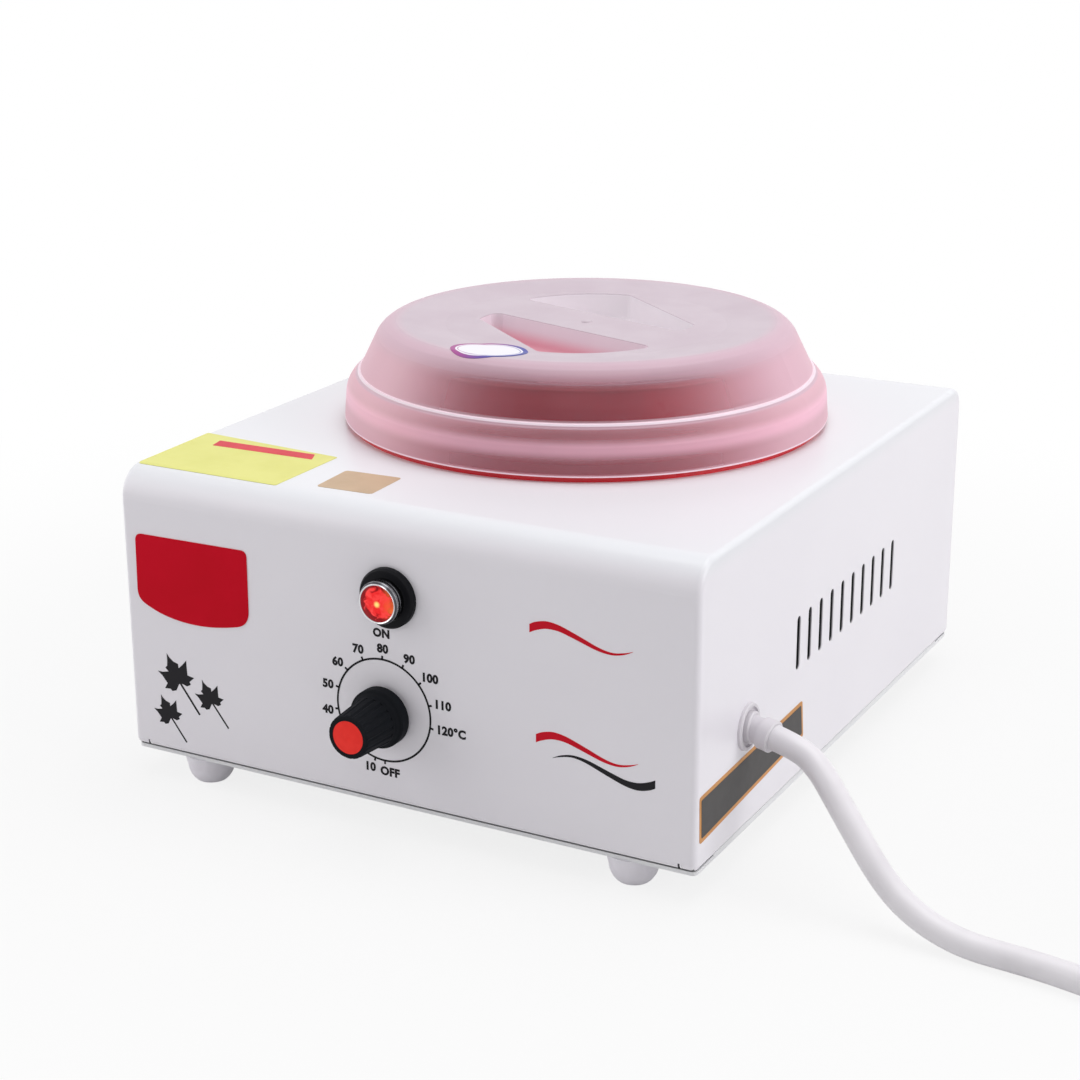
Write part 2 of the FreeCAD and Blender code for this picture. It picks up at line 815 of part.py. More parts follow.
def insulation_blanket():
    """Glass-wool sleeve around the well."""
    low = well_floor_low + blanket_low
    high = casing_top - casing_sheet - well_sheet - blanket_high
    inner = well_outer + blanket_gap
    profile = [
        (inner, low), (inner + blanket_thickness, low),
        (inner + blanket_thickness, high), (inner, high),
    ]
    return turned(profile, Vector(0, pot_y, 0), Z_AXIS)


def bulb_centre():
    plate_low = well_floor_low - heater_thickness - clamp_plate_thickness
    return Vector(0, pot_y - bulb_offset, plate_low - bulb_radius)


def sensor_bulb():
    """The control's liquid-filled bulb, under the clamp plate, with its capillary tube."""
    centre = bulb_centre()
    start = centre - X_AXIS * (bulb_length / 2)
    bulb = cylinder(bulb_radius, bulb_length, start, X_AXIS)
    exit_x = start.x
    back_y = panel_inner_y + thermostat_thick
    route = [
        (exit_x, centre.y, centre.z),
        (exit_x - 14.0, centre.y, centre.z - 1.0),
        (exit_x - 20.0, centre.y - 16.0, centre.z - 3.0),
        (exit_x - 12.0, (centre.y + back_y) / 2, centre.z - 4.0),
        (control_x - 8.0, back_y + 12.0, control_z - 8.0),
        (control_x - 8.0, back_y, control_z - 8.0),
    ]
    return bulb.fuse(tube(route, capillary_radius)).removeSplitter()


def bulb_clip():
    """A spring clip, spot-welded to the clamp plate, that wraps the bulb."""
    centre = bulb_centre()
    inner = bulb_radius + bulb_clip_clearance
    outer = inner + bulb_clip_sheet
    top = centre.z + bulb_radius
    start = Vector(-bulb_clip_width / 2, centre.y, centre.z)
    ring = cylinder(outer, bulb_clip_width, start, X_AXIS)
    lower = box((-bulb_clip_width, centre.y - outer - 1, centre.z - outer - 1),
                (bulb_clip_width, centre.y + outer + 1, centre.z))
    clip = ring.common(lower)
    for sign in (-1, 1):
        ys = sorted((centre.y + sign * inner, centre.y + sign * outer))
        clip = clip.fuse(box((-bulb_clip_width / 2, ys[0], centre.z),
                             (bulb_clip_width / 2, ys[1], top)))
        ys = sorted((centre.y + sign * inner, centre.y + sign * (outer + bulb_clip_tab)))
        clip = clip.fuse(box((-bulb_clip_width / 2, ys[0], top - bulb_clip_sheet),
                             (bulb_clip_width / 2, ys[1], top)))
    clip = clip.cut(cylinder(inner, 3 * bulb_clip_width,
                             Vector(-1.5 * bulb_clip_width, centre.y, centre.z), X_AXIS))
    return clip.removeSplitter()


# ---- Lid ------------------------------------------------------------------------------------

def lid_profile(inset):
    """Half of the lid's section, from the skirt's lower edge over the dome to the centre."""
    skirt_low = lid_skirt_gap
    shoulder_mid = at((lid_skirt_top_radius + lid_shoulder_radius) / 2 - inset + lid_shoulder_bulge,
                      (lid_skirt_height + lid_ledge_height) / 2 - inset + lid_shoulder_bulge)
    crest = at(lid_crest_radius, lid_height - inset)
    dome_top = at(lid_dome_high_radius - inset, lid_dome_height - inset / 2)
    dome_mid = at((crest.x + dome_top.x) / 2 + lid_crest_bulge[0],
                  (crest.z + dome_top.z) / 2 + lid_crest_bulge[1])
    dish_mid = at((lid_crest_radius + lid_dish_radius) / 2,
                  lid_height - inset - lid_dish_depth * lid_dish_share)
    ledge_top = lid_ledge_height + lid_ledge_bead - inset
    edges = [
        line(at(lid_skirt_radius - inset, skirt_low),
             at(lid_skirt_top_radius - inset, lid_skirt_height - inset / 2)),
        arc(at(lid_skirt_top_radius - inset, lid_skirt_height - inset / 2), shoulder_mid,
            at(lid_shoulder_radius - inset, lid_ledge_height - inset)),
        line(at(lid_shoulder_radius - inset, lid_ledge_height - inset),
             at(lid_ledge_radius - inset, ledge_top)),
        line(at(lid_ledge_radius - inset, ledge_top), at(lid_dome_low_radius - inset, ledge_top)),
        line(at(lid_dome_low_radius - inset, ledge_top), dome_top),
        arc(dome_top, dome_mid, crest),
        arc(crest, dish_mid, at(lid_dish_radius, lid_height - lid_dish_depth - inset)),
        line(at(lid_dish_radius, lid_height - lid_dish_depth - inset),
             at(0, lid_height - lid_dish_depth - inset)),
        line(at(0, lid_height - lid_dish_depth - inset), at(0, skirt_low)),
        line(at(0, skirt_low), at(lid_skirt_radius - inset, skirt_low)),
    ]
    return edges


def grip_outline():
    """The plan of one finger well before its corners are rounded, from a circle and two chords."""
    reach = 2 * grip_well_radius
    centre = Vector(grip_well_centre_u, -grip_well_centre_v, 0)
    disc = Part.Face(Part.Wire(Part.makeCircle(grip_well_radius, centre, Z_AXIS)))

    def chord(angle, distance):
        """A square that keeps what lies on the lid's side of a line."""
        square = Part.makePlane(2 * reach, 2 * reach, Vector(-reach, -distance, 0))
        square.rotate(Vector(0, 0, 0), Z_AXIS, angle)
        return square

    plan = disc.common(chord(grip_well_flat_angle, grip_well_flat_distance))
    return plan.common(chord(180, -grip_half_width)).Faces[0]


def grip_well(grow):
    """The cutter of one finger well: a drafted pocket with rounded corners and floor."""
    draft = math.tan(math.radians(grip_well_draft))
    floor_z = lid_height - grip_well_depth - grow
    top_z = lid_height + grip_well_overrun
    core = grip_outline().makeOffset2D(-grip_well_corner)
    sections = []
    for z in (floor_z, top_z):
        swell = grip_well_corner + grow + (z - lid_height) * draft
        wire = core.makeOffset2D(swell).OuterWire
        wire.translate(Vector(0, 0, z))
        sections.append(wire)
    pocket = Part.makeLoft(sections, True, True)
    floor_edges = [edge for edge in pocket.Edges
                   if abs(edge.BoundBox.ZMin - floor_z) < 1e-6 and edge.BoundBox.ZLength < 1e-6]
    return pocket.makeFillet(grip_well_floor_round + grow, floor_edges)


def lid():
    """Outer form less inner form, each with its finger wells, so the wall follows the wells."""
    outer = turned_wire(lid_profile(0), Vector(0, 0, 0), Z_AXIS)
    inner = turned_wire(lid_profile(lid_wall), Vector(0, 0, 0), Z_AXIS)
    for turn in (0, 180):
        cutter = grip_well(0)
        backing = grip_well(lid_wall)
        for shape in (cutter, backing):
            shape.rotate(Vector(0, 0, 0), Z_AXIS, grip_angle + turn)
        outer = outer.cut(cutter)
        inner = inner.cut(backing)
    shell = outer.cut(inner)
    seat_radius = pot_rim_radius - pot_rim_roll
    seat_low = pot_neck_height + lid_seat_gap
    seat = turned([
        (seat_radius - lid_seat_width / 2, seat_low), (seat_radius + lid_seat_width / 2, seat_low),
        (seat_radius + lid_seat_width / 2, lid_height - lid_wall),
        (seat_radius - lid_seat_width / 2, lid_height - lid_wall),
    ], Vector(0, 0, 0), Z_AXIS)
    shell = shell.fuse(seat.common(turned_wire(lid_profile(0), Vector(0, 0, 0), Z_AXIS)))
    shell = shell.removeSplitter()
    shell.translate(Vector(0, pot_y, casing_top))
    return shell


# ---- Rotary control -------------------------------------------------------------------------

def outward(reach):
    """A point on the control's axis, a distance out from the front panel."""
    return Vector(control_x, front_y - reach, control_z)


def thermostat_body():
    """The switch block behind the panel, with its threaded bush and two tabs."""
    low = (control_x - thermostat_width / 2, panel_inner_y, control_z - thermostat_tall / 2)
    high = (control_x + thermostat_width / 2, panel_inner_y + thermostat_thick,
            control_z + thermostat_tall / 2)
    body = box(low, high)
    along = [edge for edge in body.Edges if edge.BoundBox.YLength > thermostat_thick * 0.99]
    body = body.makeFillet(thermostat_corner, along)
    bush = cylinder(bush_radius, bush_reach + casing_sheet, outward(bush_reach), Y_AXIS)
    body = body.fuse(bush)
    for side in (-1, 1):
        x = control_x + side * thermostat_tab_offset
        low_z = control_z + thermostat_tab_rise
        body = body.fuse(box((x - thermostat_tab_width / 2, high[1], low_z),
                             (x + thermostat_tab_width / 2, high[1] + thermostat_tab_length,
                              low_z + thermostat_tab_thickness)))
    bore = cylinder(spindle_radius + spindle_clearance, bush_reach + casing_sheet + spindle_depth,
                    outward(bush_reach), Y_AXIS)
    return body.cut(bore).removeSplitter()


def control_spindle():
    """The turning spindle, with a flat that drives the knob."""
    length = spindle_reach + casing_sheet + spindle_depth - spindle_clearance
    spindle = cylinder(spindle_radius, length, outward(spindle_reach), Y_AXIS)
    bore_start = knob_gap + knob_recess_depth
    flat = box((control_x - 2 * spindle_radius, front_y - 2 * spindle_reach,
                control_z + spindle_flat),
               (control_x + 2 * spindle_radius, front_y - bore_start + spindle_flat_lead,
                control_z + 2 * spindle_radius))
    return spindle.cut(flat)


def control_washer():
    disc = cylinder(washer_radius, washer_thickness, outward(washer_thickness), Y_AXIS)
    return disc.cut(cylinder(bush_radius + bush_clearance, 4 * washer_thickness,
                             outward(2 * washer_thickness), Y_AXIS))


def control_nut():
    start = outward(washer_thickness)
    return ring_nut(control_nut_flats, control_nut_height, bush_radius, start, -Y_AXIS)


def control_knob():
    """A skirted push-on knob: fluted waist, bored for the flatted spindle, with a cap seat."""
    skirt_top = knob_gap + knob_skirt_thickness
    waist = skirt_top + knob_waist_rise
    cap_floor = knob_reach - cap_thickness - cap_crown
    face = knob_reach - cap_crown
    recess_top = knob_gap + knob_recess_depth
    edges = [
        line(at(knob_recess_radius, knob_gap), at(knob_skirt_radius - knob_chamfer, knob_gap)),
        line(at(knob_skirt_radius - knob_chamfer, knob_gap),
             at(knob_skirt_radius, knob_gap + knob_chamfer)),
        line(at(knob_skirt_radius, knob_gap + knob_chamfer),
             at(knob_skirt_radius, skirt_top - knob_edge)),
        corner_arc(at(knob_skirt_radius - knob_edge, skirt_top - knob_edge), knob_edge, 0, 90),
        arc(at(knob_skirt_radius - knob_edge, skirt_top),
            at(knob_neck_radius + knob_waist_round[0], skirt_top + knob_waist_round[1]),
            at(knob_neck_radius, waist)),
        line(at(knob_neck_radius, waist), at(knob_tip_radius, face - knob_edge)),
        corner_arc(at(knob_tip_radius - knob_edge, face - knob_edge), knob_edge, 0, 90),
        line(at(knob_tip_radius - knob_edge, face), at(cap_radius + cap_clearance, face)),
        line(at(cap_radius + cap_clearance, face), at(cap_radius + cap_clearance, cap_floor)),
        line(at(cap_radius + cap_clearance, cap_floor), at(0, cap_floor)),
        line(at(0, cap_floor), at(0, recess_top)),
        line(at(0, recess_top), at(knob_recess_radius, recess_top)),
        line(at(knob_recess_radius, recess_top), at(knob_recess_radius, knob_gap)),
    ]
    knob = turned_wire(edges, outward(0), -Y_AXIS)
    for index in range(knob_flutes):
        angle = 2 * math.pi * index / knob_flutes
        centre = knob_neck_radius + knob_flute_radius - knob_flute_depth
        spoke = Vector(math.cos(angle), 0, math.sin(angle))
        foot_point = outward(waist + knob_flute_start) + spoke * centre
        tip_centre = knob_tip_radius + knob_flute_radius - knob_flute_depth
        tip_point = outward(knob_reach) + spoke * tip_centre
        direction = tip_point - foot_point
        knob = knob.cut(cylinder(knob_flute_radius, direction.Length, foot_point,
                                 direction.normalize()))
    bore = cylinder(spindle_radius + spindle_clearance, knob_bore_depth,
                    outward(knob_gap + knob_bore_depth + knob_recess_depth), Y_AXIS)
    key = box((control_x - 2 * spindle_radius, front_y - knob_reach,
               control_z + spindle_flat + spindle_clearance),
              (control_x + 2 * spindle_radius, front_y, control_z + 2 * spindle_radius))
    return knob.cut(bore.cut(key))


def knob_cap():
    """The coloured disc pressed into the knob's end."""
    base = knob_reach - cap_thickness - cap_crown
    rim = knob_reach - cap_crown
    edges = [
        line(at(0, base), at(cap_radius, base)),
        line(at(cap_radius, base), at(cap_radius, rim)),
        dome_arc(cap_radius, rim, cap_crown),
        line(at(0, knob_reach), at(0, base)),
    ]
    return turned_wire(edges, outward(0), -Y_AXIS)


# ---- Pilot lamp -----------------------------------------------------------------------------

def lamp_at(reach):
    return Vector(lamp_x, front_y - reach, lamp_z)


def lamp_ring():
    """The rubber ring between the bezel and the panel."""
    profile = [
        (lamp_hole_radius, 0), (lamp_ring_radius, 0),
        (lamp_ring_radius, lamp_ring_thickness - lamp_ring_chamfer),
        (lamp_ring_radius - lamp_ring_chamfer, lamp_ring_thickness),
        (lamp_hole_radius, lamp_ring_thickness),
    ]
    return turned(profile, lamp_at(0), -Y_AXIS)


def lamp_bezel():
    """The chromed bezel and its barrel, open to the front for the lens."""
    groove_low = lamp_ring_thickness + lamp_groove_start
    groove_high = groove_low + lamp_groove_width
    rim = lamp_bezel_reach
    tail = -(casing_sheet + lamp_barrel_length)
    bore = lamp_barrel_radius - lamp_barrel_wall
    profile = [
        (lamp_barrel_radius, tail), (lamp_barrel_radius, lamp_ring_thickness),
        (lamp_bezel_radius, lamp_ring_thickness), (lamp_bezel_radius, groove_low),
        (lamp_bezel_radius - lamp_bezel_groove, groove_low),
        (lamp_bezel_radius - lamp_bezel_groove, groove_high),
        (lamp_bezel_radius, groove_high), (lamp_bezel_radius, rim - lamp_rim_slope),
        (lamp_lens_radius + lamp_rim_land, rim), (lamp_lens_radius, rim - lamp_rim_land / 2),
        (lamp_lens_radius, rim - lamp_lens_depth), (bore, rim - lamp_lens_depth), (bore, tail),
    ]
    return turned(profile, lamp_at(0), -Y_AXIS)


def lamp_lens():
    """The red jewel, with a domed front."""
    back = lamp_bezel_reach - lamp_lens_depth
    edge = lamp_bezel_reach - lamp_lens_inset
    crown = edge + lamp_lens_crown
    edges = [
        line(at(0, back), at(lamp_lens_radius, back)),
        line(at(lamp_lens_radius, back), at(lamp_lens_radius, edge)),
        dome_arc(lamp_lens_radius, edge, lamp_lens_crown),
        line(at(0, crown), at(0, back)),
    ]
    return turned_wire(edges, lamp_at(0), -Y_AXIS)


def lamp_holder():
    """The lamp in its moulded holder, inside the barrel."""
    front = lamp_bezel_reach - lamp_lens_depth - lamp_holder_gap
    tail = -(casing_sheet + lamp_holder_length)
    profile = [
        (0, tail), (lamp_holder_radius, tail), (lamp_holder_radius, front), (0, front),
    ]
    return turned(profile, lamp_at(0), -Y_AXIS)


def lamp_nut():
    return ring_nut(lamp_nut_flats, lamp_nut_height, lamp_barrel_radius,
                    lamp_at(-casing_sheet), Y_AXIS)


# ---- Cord bushing, terminal block and wiring ------------------------------------------------

def cord_bushing():
    """A bushing moulded on the cord: flange, groove and barbs, and a neck that leans with it."""
    wall = casing_sheet
    groove_z = gland_flange_thickness - gland_groove_depth
    tail = -(wall + gland_tail_length)
    lock = -(wall + gland_clearance)
    shank = gland_hole_radius - gland_clearance
    edge = gland_edge
    profile = [
        (0, tail), (gland_tail_radius, tail), (gland_barb_radius, -(wall + gland_barb_length)),
        (gland_barb_radius, lock), (shank, lock), (shank, 0),
        (gland_flange_radius, 0), (gland_flange_radius, gland_flange_thickness - edge),
        (gland_flange_radius - edge, gland_flange_thickness),
        (gland_groove_outer, gland_flange_thickness), (gland_groove_outer, groove_z),
        (gland_groove_inner, groove_z), (gland_groove_inner, gland_boss_reach - edge),
        (gland_groove_inner - edge, gland_boss_reach), (0, gland_boss_reach),
    ]
    fixed = turned(profile, Vector(side_x, gland_y_row, gland_z), X_AXIS)
    collar = gland_neck_length - gland_collar_length
    neck_profile = [
        (0, 0), (gland_neck_radius, 0), (gland_neck_radius, collar - edge),
        (gland_collar_radius, collar), (gland_collar_radius, gland_neck_length - edge),
        (gland_collar_radius - edge, gland_neck_length), (0, gland_neck_length),
    ]
    neck = turned(neck_profile, gland_neck_point, gland_heading)
    return fixed.fuse(neck).removeSplitter()


def pole_y(index):
    return block_y + (index - 1) * block_pole_pitch


def terminal_block():
    """A three-pole ceramic block with wire entries and screw wells."""
    block = box((block_x - block_width / 2, block_y - block_length / 2, casing_bottom),
                (block_x + block_width / 2, block_y + block_length / 2,
                 casing_bottom + block_height))
    upright = [edge for edge in block.Edges if edge.BoundBox.ZLength > block_height * 0.99]
    block = block.makeFillet(block_corner, upright)
    well_low = casing_bottom + block_height - block_screw_well
    for index in range(3):
        for side in (-1, 1):
            start = Vector(*block_end(index, side))
            block = block.cut(cylinder(block_entry_radius, 2 * block_entry_depth, start,
                                       X_AXIS * side))
        block = block.cut(cylinder(block_screw_radius + block_screw_gap, 2 * block_screw_well,
                                   Vector(block_x, pole_y(index), well_low), Z_AXIS))
    return block


def terminal_screws():
    screws = []
    for index in range(3):
        low = casing_bottom + block_height - block_screw_well
        screws.append(cylinder(block_screw_radius, block_screw_length,
                               Vector(block_x, pole_y(index), low), Z_AXIS))
    return Part.makeCompound(screws)


def earth_screw():
    """The earth screw: head under the base plate, shank up through it."""
    head = cylinder(earth_head_radius, earth_head_height,
                    Vector(earth_x, earth_y, foot_height - earth_head_height), Z_AXIS)
    length = base_sheet + earth_washer_thickness + earth_nut_height + earth_tail
    shank = cylinder(earth_screw_radius, length, Vector(earth_x, earth_y, foot_height), Z_AXIS)
    return head.fuse(shank).removeSplitter()


def earth_terminal():
    """The eyelet under the earth nut, with a tongue for its wire."""
    disc = cylinder(earth_washer_radius, earth_washer_thickness,
                    Vector(earth_x, earth_y, casing_bottom), Z_AXIS)
    tongue = box((earth_x - earth_tongue_width / 2, earth_y - earth_tongue_reach, casing_bottom),
                 (earth_x + earth_tongue_width / 2, earth_y,
                  casing_bottom + earth_washer_thickness))
    bore = cylinder(earth_screw_radius + nut_clearance, 4 * earth_washer_thickness,
                    Vector(earth_x, earth_y, casing_bottom - earth_washer_thickness), Z_AXIS)
    return disc.fuse(tongue).cut(bore).removeSplitter()


def earth_nut():
    start = Vector(earth_x, earth_y, casing_bottom + earth_washer_thickness)
    return ring_nut(earth_nut_flats, earth_nut_height, earth_screw_radius, start, Z_AXIS)


def bushing_tail(y_offset, z_offset):
    """A point on the inner end of the bushing, where one conductor leaves it."""
    return (side_x - casing_sheet - gland_tail_length, gland_y_row + y_offset, gland_z + z_offset)


def block_end(index, side):
    """The bottom of one wire entry in the terminal block."""
    return (block_x + side * (block_width / 2 - block_entry_depth), pole_y(index), block_entry_z)


def element_tab_end():
    """Y and Z of the outer ends of the element's tabs."""
    low = well_floor_low - heater_thickness + heater_tab_rise
    return pot_y - heater_radius - heater_tab_length, low + heater_tab_thickness / 2


def live_wires():
    """Supply to the block, block to the control, control to the element, control to the lamp."""
    tail = bushing_tail(-wire_spread, 0)
    entry = block_end(0, 1)
    tab_top = control_z + thermostat_tab_rise + thermostat_tab_thickness
    tab_z = tab_top - thermostat_tab_thickness / 2
    tab_y = panel_inner_y + thermostat_thick + thermostat_tab_length / 2
    left_tab = control_x - thermostat_tab_offset
    right_edge = control_x + thermostat_tab_offset + thermostat_tab_width / 2
    left_edge = left_tab - thermostat_tab_width / 2
    element_y, element_z = element_tab_end()
    supply = [
        tail, (tail[0] - 7, tail[1], tail[2]), (tail[0] - 12, tail[1] - 6, tail[2] - 9),
        (tail[0] - 14, entry[1] + 1, tail[2] - 19), (entry[0] + 12, entry[1], entry[2]), entry,
    ]
    start = block_end(0, -1)
    to_control = [
        start, (start[0] - 10, start[1], start[2]), (start[0] - 21, start[1] + 4, start[2] + 12),
        (right_edge + 10, tab_y, tab_z), (right_edge, tab_y, tab_z),
    ]
    to_element = [
        (left_edge, tab_y, tab_z), (left_edge - 7, tab_y, tab_z),
        (left_edge - 9, tab_y + 11, tab_z - 3),
        (-heater_tab_offset - 4, element_y - 14, element_z),
        (-heater_tab_offset, element_y - 8, element_z),
        (-heater_tab_offset, element_y, element_z),
    ]
    lamp_end = (lamp_x - lamp_wire_offset, lamp_back_y, lamp_z)
    to_lamp = [
        lamp_end, (lamp_end[0], lamp_end[1] + 6, lamp_z),
        (lamp_end[0] - 4.5, lamp_end[1] + 8, lamp_z - 11), (left_tab, tab_y + 2, tab_top + 9),
        (left_tab, tab_y + 2, tab_top),
    ]
    wires = [tube(route, wire_radius) for route in (supply, to_control, to_element)]
    return Part.makeCompound(wires + [tube(to_lamp, lamp_wire_radius)])


def neutral_wires():
    """Supply to the block, block to the element and block to the lamp."""
    tail = bushing_tail(0, -wire_spread)
    entry = block_end(1, 1)
    element_y, element_z = element_tab_end()
    supply = [
        tail, (tail[0] - 6, tail[1], tail[2]), (tail[0] - 11, tail[1] - 2.5, tail[2] - 9.5),
        (tail[0] - 14, entry[1] + 0.5, tail[2] - 18.5), (entry[0] + 12, entry[1], entry[2]), entry,
    ]
    start = block_end(1, -1)
    to_element = [
        start, (start[0] - 11, start[1], start[2]), (start[0] - 24, start[1] + 10, start[2] + 7),
        (heater_tab_offset + 4, element_y - 14.5, element_z - 4.5),
        (heater_tab_offset, element_y - 8, element_z), (heater_tab_offset, element_y, element_z),
    ]
    spare = block_end(2, -1)
    lamp_end = (lamp_x + lamp_wire_offset, lamp_back_y, lamp_z)
    to_lamp = [
        lamp_end, (lamp_end[0], lamp_end[1] + 7.5, lamp_z),
        (lamp_end[0] + 9, lamp_end[1] + 13.5, lamp_z - 13),
        (spare[0] - 24, spare[1] + 2, spare[2] + 23),
        (spare[0] - 16, spare[1] + 0.5, spare[2] + 3), (spare[0] - 10, spare[1], spare[2]), spare,
    ]
    wires = [tube(route, wire_radius) for route in (supply, to_element)]
    return Part.makeCompound(wires + [tube(to_lamp, lamp_wire_radius)])


def earth_wire():
    """From the bushing down to the eyelet's tongue."""
    tail = bushing_tail(wire_spread, 0)
    foot_y = earth_y - earth_tongue_reach + earth_tongue_width / 2
    route = [
        tail, (tail[0] - 6, tail[1], tail[2]), (earth_x + 1, tail[1] + 6, tail[2] - 9),
        (earth_x, foot_y, tail[2] - 19), (earth_x, foot_y, casing_bottom + earth_washer_thickness),
    ]
    return tube(route, wire_radius)


# ---- Mains cord -----------------------------------------------------------------------------

def cord_points():
    """From the bushing's collar to the lead-in of the coil."""
    collar_end = gland_neck_point + gland_heading * gland_neck_length
    first = collar_end + gland_heading * cord_first_run
    lead_in = coil_entry()
    before = lead_in - X_AXIS * cord_last_run
    return [tuple(collar_end), tuple(first)] + cord_route + [tuple(before), tuple(lead_in)]


def cord_free_stretch():
    return tube(cord_points(), cord_radius, "cord")


def coil_entry():
    """Where the cord's free stretch ends, on the tangent of the coil's first turn."""
    return Vector(coil_centre[0] - coil_lead_in, coil_centre[1] - coil_first_radius, cord_radius)


def coil_exit():
    """Where the upper turns leave the coil, and the heading there."""
    turns = coil_lower_turns + coil_rise_turns + coil_upper_turns
    angle = 2 * math.pi * turns - math.pi / 2
    spoke = Vector(math.cos(angle), math.sin(angle), 0)
    leave = Vector(coil_centre[0], coil_centre[1], cord_radius + cord_pitch)
    return Z_AXIS.cross(spoke), leave + spoke * coil_last_radius


def cord_coil():
    """The outer shape of two layers of turns, with a groove for the tie and two round leads."""
    low = coil_low_edge + coil_slack
    high = coil_high_edge - coil_slack
    top = 2 * cord_pitch - coil_slack
    round_off = cord_radius / 2
    profile = [
        (low + round_off, coil_slack), (high - round_off, coil_slack),
        (high, coil_slack + round_off), (high, top - round_off), (high - round_off, top),
        (low + round_off, top), (low, top - round_off), (low, coil_slack + round_off),
    ]
    coil = turned(profile, Vector(coil_centre[0], coil_centre[1], 0), Z_AXIS)
    coil = coil.fuse(cylinder(cord_radius, coil_lead_in, coil_entry(), X_AXIS))
    heading, leave = coil_exit()
    coil = coil.fuse(cylinder(cord_radius, coil_lead_out, leave, heading))
    return coil.cut(tie_band(coil_slack + tie_thickness)).removeSplitter()


def tie_band(spare=0.0):
    """A flat band around the coil's section; with spare it is the cutter of its groove."""
    low = coil_low_edge
    high = coil_high_edge
    top = 2 * cord_pitch
    outer = box((low - spare, -tie_width / 2, 0), (high + spare, tie_width / 2, top))
    core = box((low + tie_thickness, -tie_width, tie_thickness),
               (high - tie_thickness, tie_width, top - tie_thickness))
    band = outer.cut(core)
    band.rotate(Vector(0, 0, 0), Z_AXIS, tie_angle)
    band.translate(Vector(coil_centre[0], coil_centre[1], 0))
    return band


def plug_frame():
    """The plug's entry point, its heading and its placement on the surface."""
    heading, leave = coil_exit()
    entry = leave + heading * coil_lead_out
    turn = math.degrees(math.atan2(heading.y, heading.x))
    return FreeCAD.Placement(Vector(entry.x, entry.y, 0), FreeCAD.Rotation(Z_AXIS, turn))


def plug_body():
    """A flat moulded plug that lies on its back, with its cord entry in the body's plane."""
    axis_z = cord_radius + cord_pitch
    thick = 2 * axis_z
    sleeve_end = plug_sleeve_length
    half = plug_width / 2
    nose = sleeve_end + plug_length
    throat = plug_throat_width / 2
    shoulder = sleeve_end + plug_taper_length
    bow = nose - plug_nose_bow
    edges = [
        line(Vector(sleeve_end, -throat, 0), Vector(shoulder, -half, 0)),
        line(Vector(shoulder, -half, 0), Vector(bow, -half, 0)),
        arc(Vector(bow, -half, 0), Vector(nose, 0, 0), Vector(bow, half, 0)),
        line(Vector(bow, half, 0), Vector(shoulder, half, 0)),
        line(Vector(shoulder, half, 0), Vector(sleeve_end, throat, 0)),
        line(Vector(sleeve_end, throat, 0), Vector(sleeve_end, -throat, 0)),
    ]
    body = Part.Face(Part.Wire(edges)).extrude(Vector(0, 0, thick))
    ends = [edge for edge in body.Edges if edge.BoundBox.ZLength < 1e-6]
    body = body.makeFillet(plug_round, ends)
    sleeve = Part.makeCone(plug_sleeve_tip_radius, plug_sleeve_radius,
                           plug_sleeve_length + plug_round,
                           Vector(0, 0, axis_z), X_AXIS)
    body = body.fuse(sleeve).removeSplitter()
    body.Placement = plug_frame()
    return body


def plug_pins():
    """Two live pins and a longer, thicker earth pin, pointing up from the plug's face."""
    face_z = 2 * (cord_radius + cord_pitch)
    live_x = plug_sleeve_length + plug_pin_start
    pins = []
    for side in (-1, 1):
        pins.append((live_x, side * plug_pin_spacing / 2, plug_pin_radius, plug_pin_length))
    pins.append((live_x + plug_earth_offset, 0, plug_earth_radius, plug_earth_length))
    solids = []
    for x, y, radius, length in pins:
        tip = plug_pin_chamfer
        shank = cylinder(radius, length - tip, Vector(x, y, face_z), Z_AXIS)
        end = Part.makeCone(radius, radius - tip, tip, Vector(x, y, face_z + length - tip), Z_AXIS)
        solid = shank.fuse(end).removeSplitter()
        solid.Placement = plug_frame().multiply(solid.Placement)
        solids.append(solid)
    return Part.makeCompound(solids)


# ---- Build ----------------------------------------------------------------------------------

def build():
    nodes = {
        "casing_wrap": casing_wrap(),
        "side_panel_right": right_side_panel(),
        "side_panel_left": side_panel().mirror(Vector(0, 0, 0), X_AXIS),
        "base_plate": base_plate(),
        "base_screws": base_screws(),
        "foot_screws": foot_screws(),
        "foot_nuts": foot_nuts(),
        "heater_well": heater_well(),
        "heater_plate": heater_plate(),
        "clamp_plate": clamp_plate(),
        "clamp_stud": clamp_stud(),
        "clamp_nut": clamp_nut(),
        "insulation_blanket": insulation_blanket(),
        "sensor_bulb": sensor_bulb(),
        "bulb_clip": bulb_clip(),
        "pot": pot(),
        "lid": lid(),
        "thermostat_body": thermostat_body(),
        "control_spindle": control_spindle(),
        "control_washer": control_washer(),
        "control_nut": control_nut(),
        "control_knob": control_knob(),
        "knob_cap": knob_cap(),
        "lamp_ring": lamp_ring(),
        "lamp_bezel": lamp_bezel(),
        "lamp_lens": lamp_lens(),
        "lamp_holder": lamp_holder(),
        "lamp_nut": lamp_nut(),
        "cord_bushing": cord_bushing(),
        "terminal_block": terminal_block(),
        "terminal_screws": terminal_screws(),
        "earth_screw": earth_screw(),
        "earth_terminal": earth_terminal(),
        "earth_nut": earth_nut(),
        "live_wires": live_wires(),
        "neutral_wires": neutral_wires(),
        "earth_wire": earth_wire(),
        "cord": cord_free_stretch(),
        "cord_coil": cord_coil(),
        "cord_tie": tie_band(),
        "plug_body": plug_body(),
        "plug_pins": plug_pins(),
    }
    for name, (x, y) in foot_places().items():
        nodes[name] = foot(x, y)
    for name, shape in nodes.items():
        save(name, shape)


build()
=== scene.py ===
import math

import bmesh
import bpy
from mathutils import Matrix, Vector
from mathutils.bvhtree import BVHTree


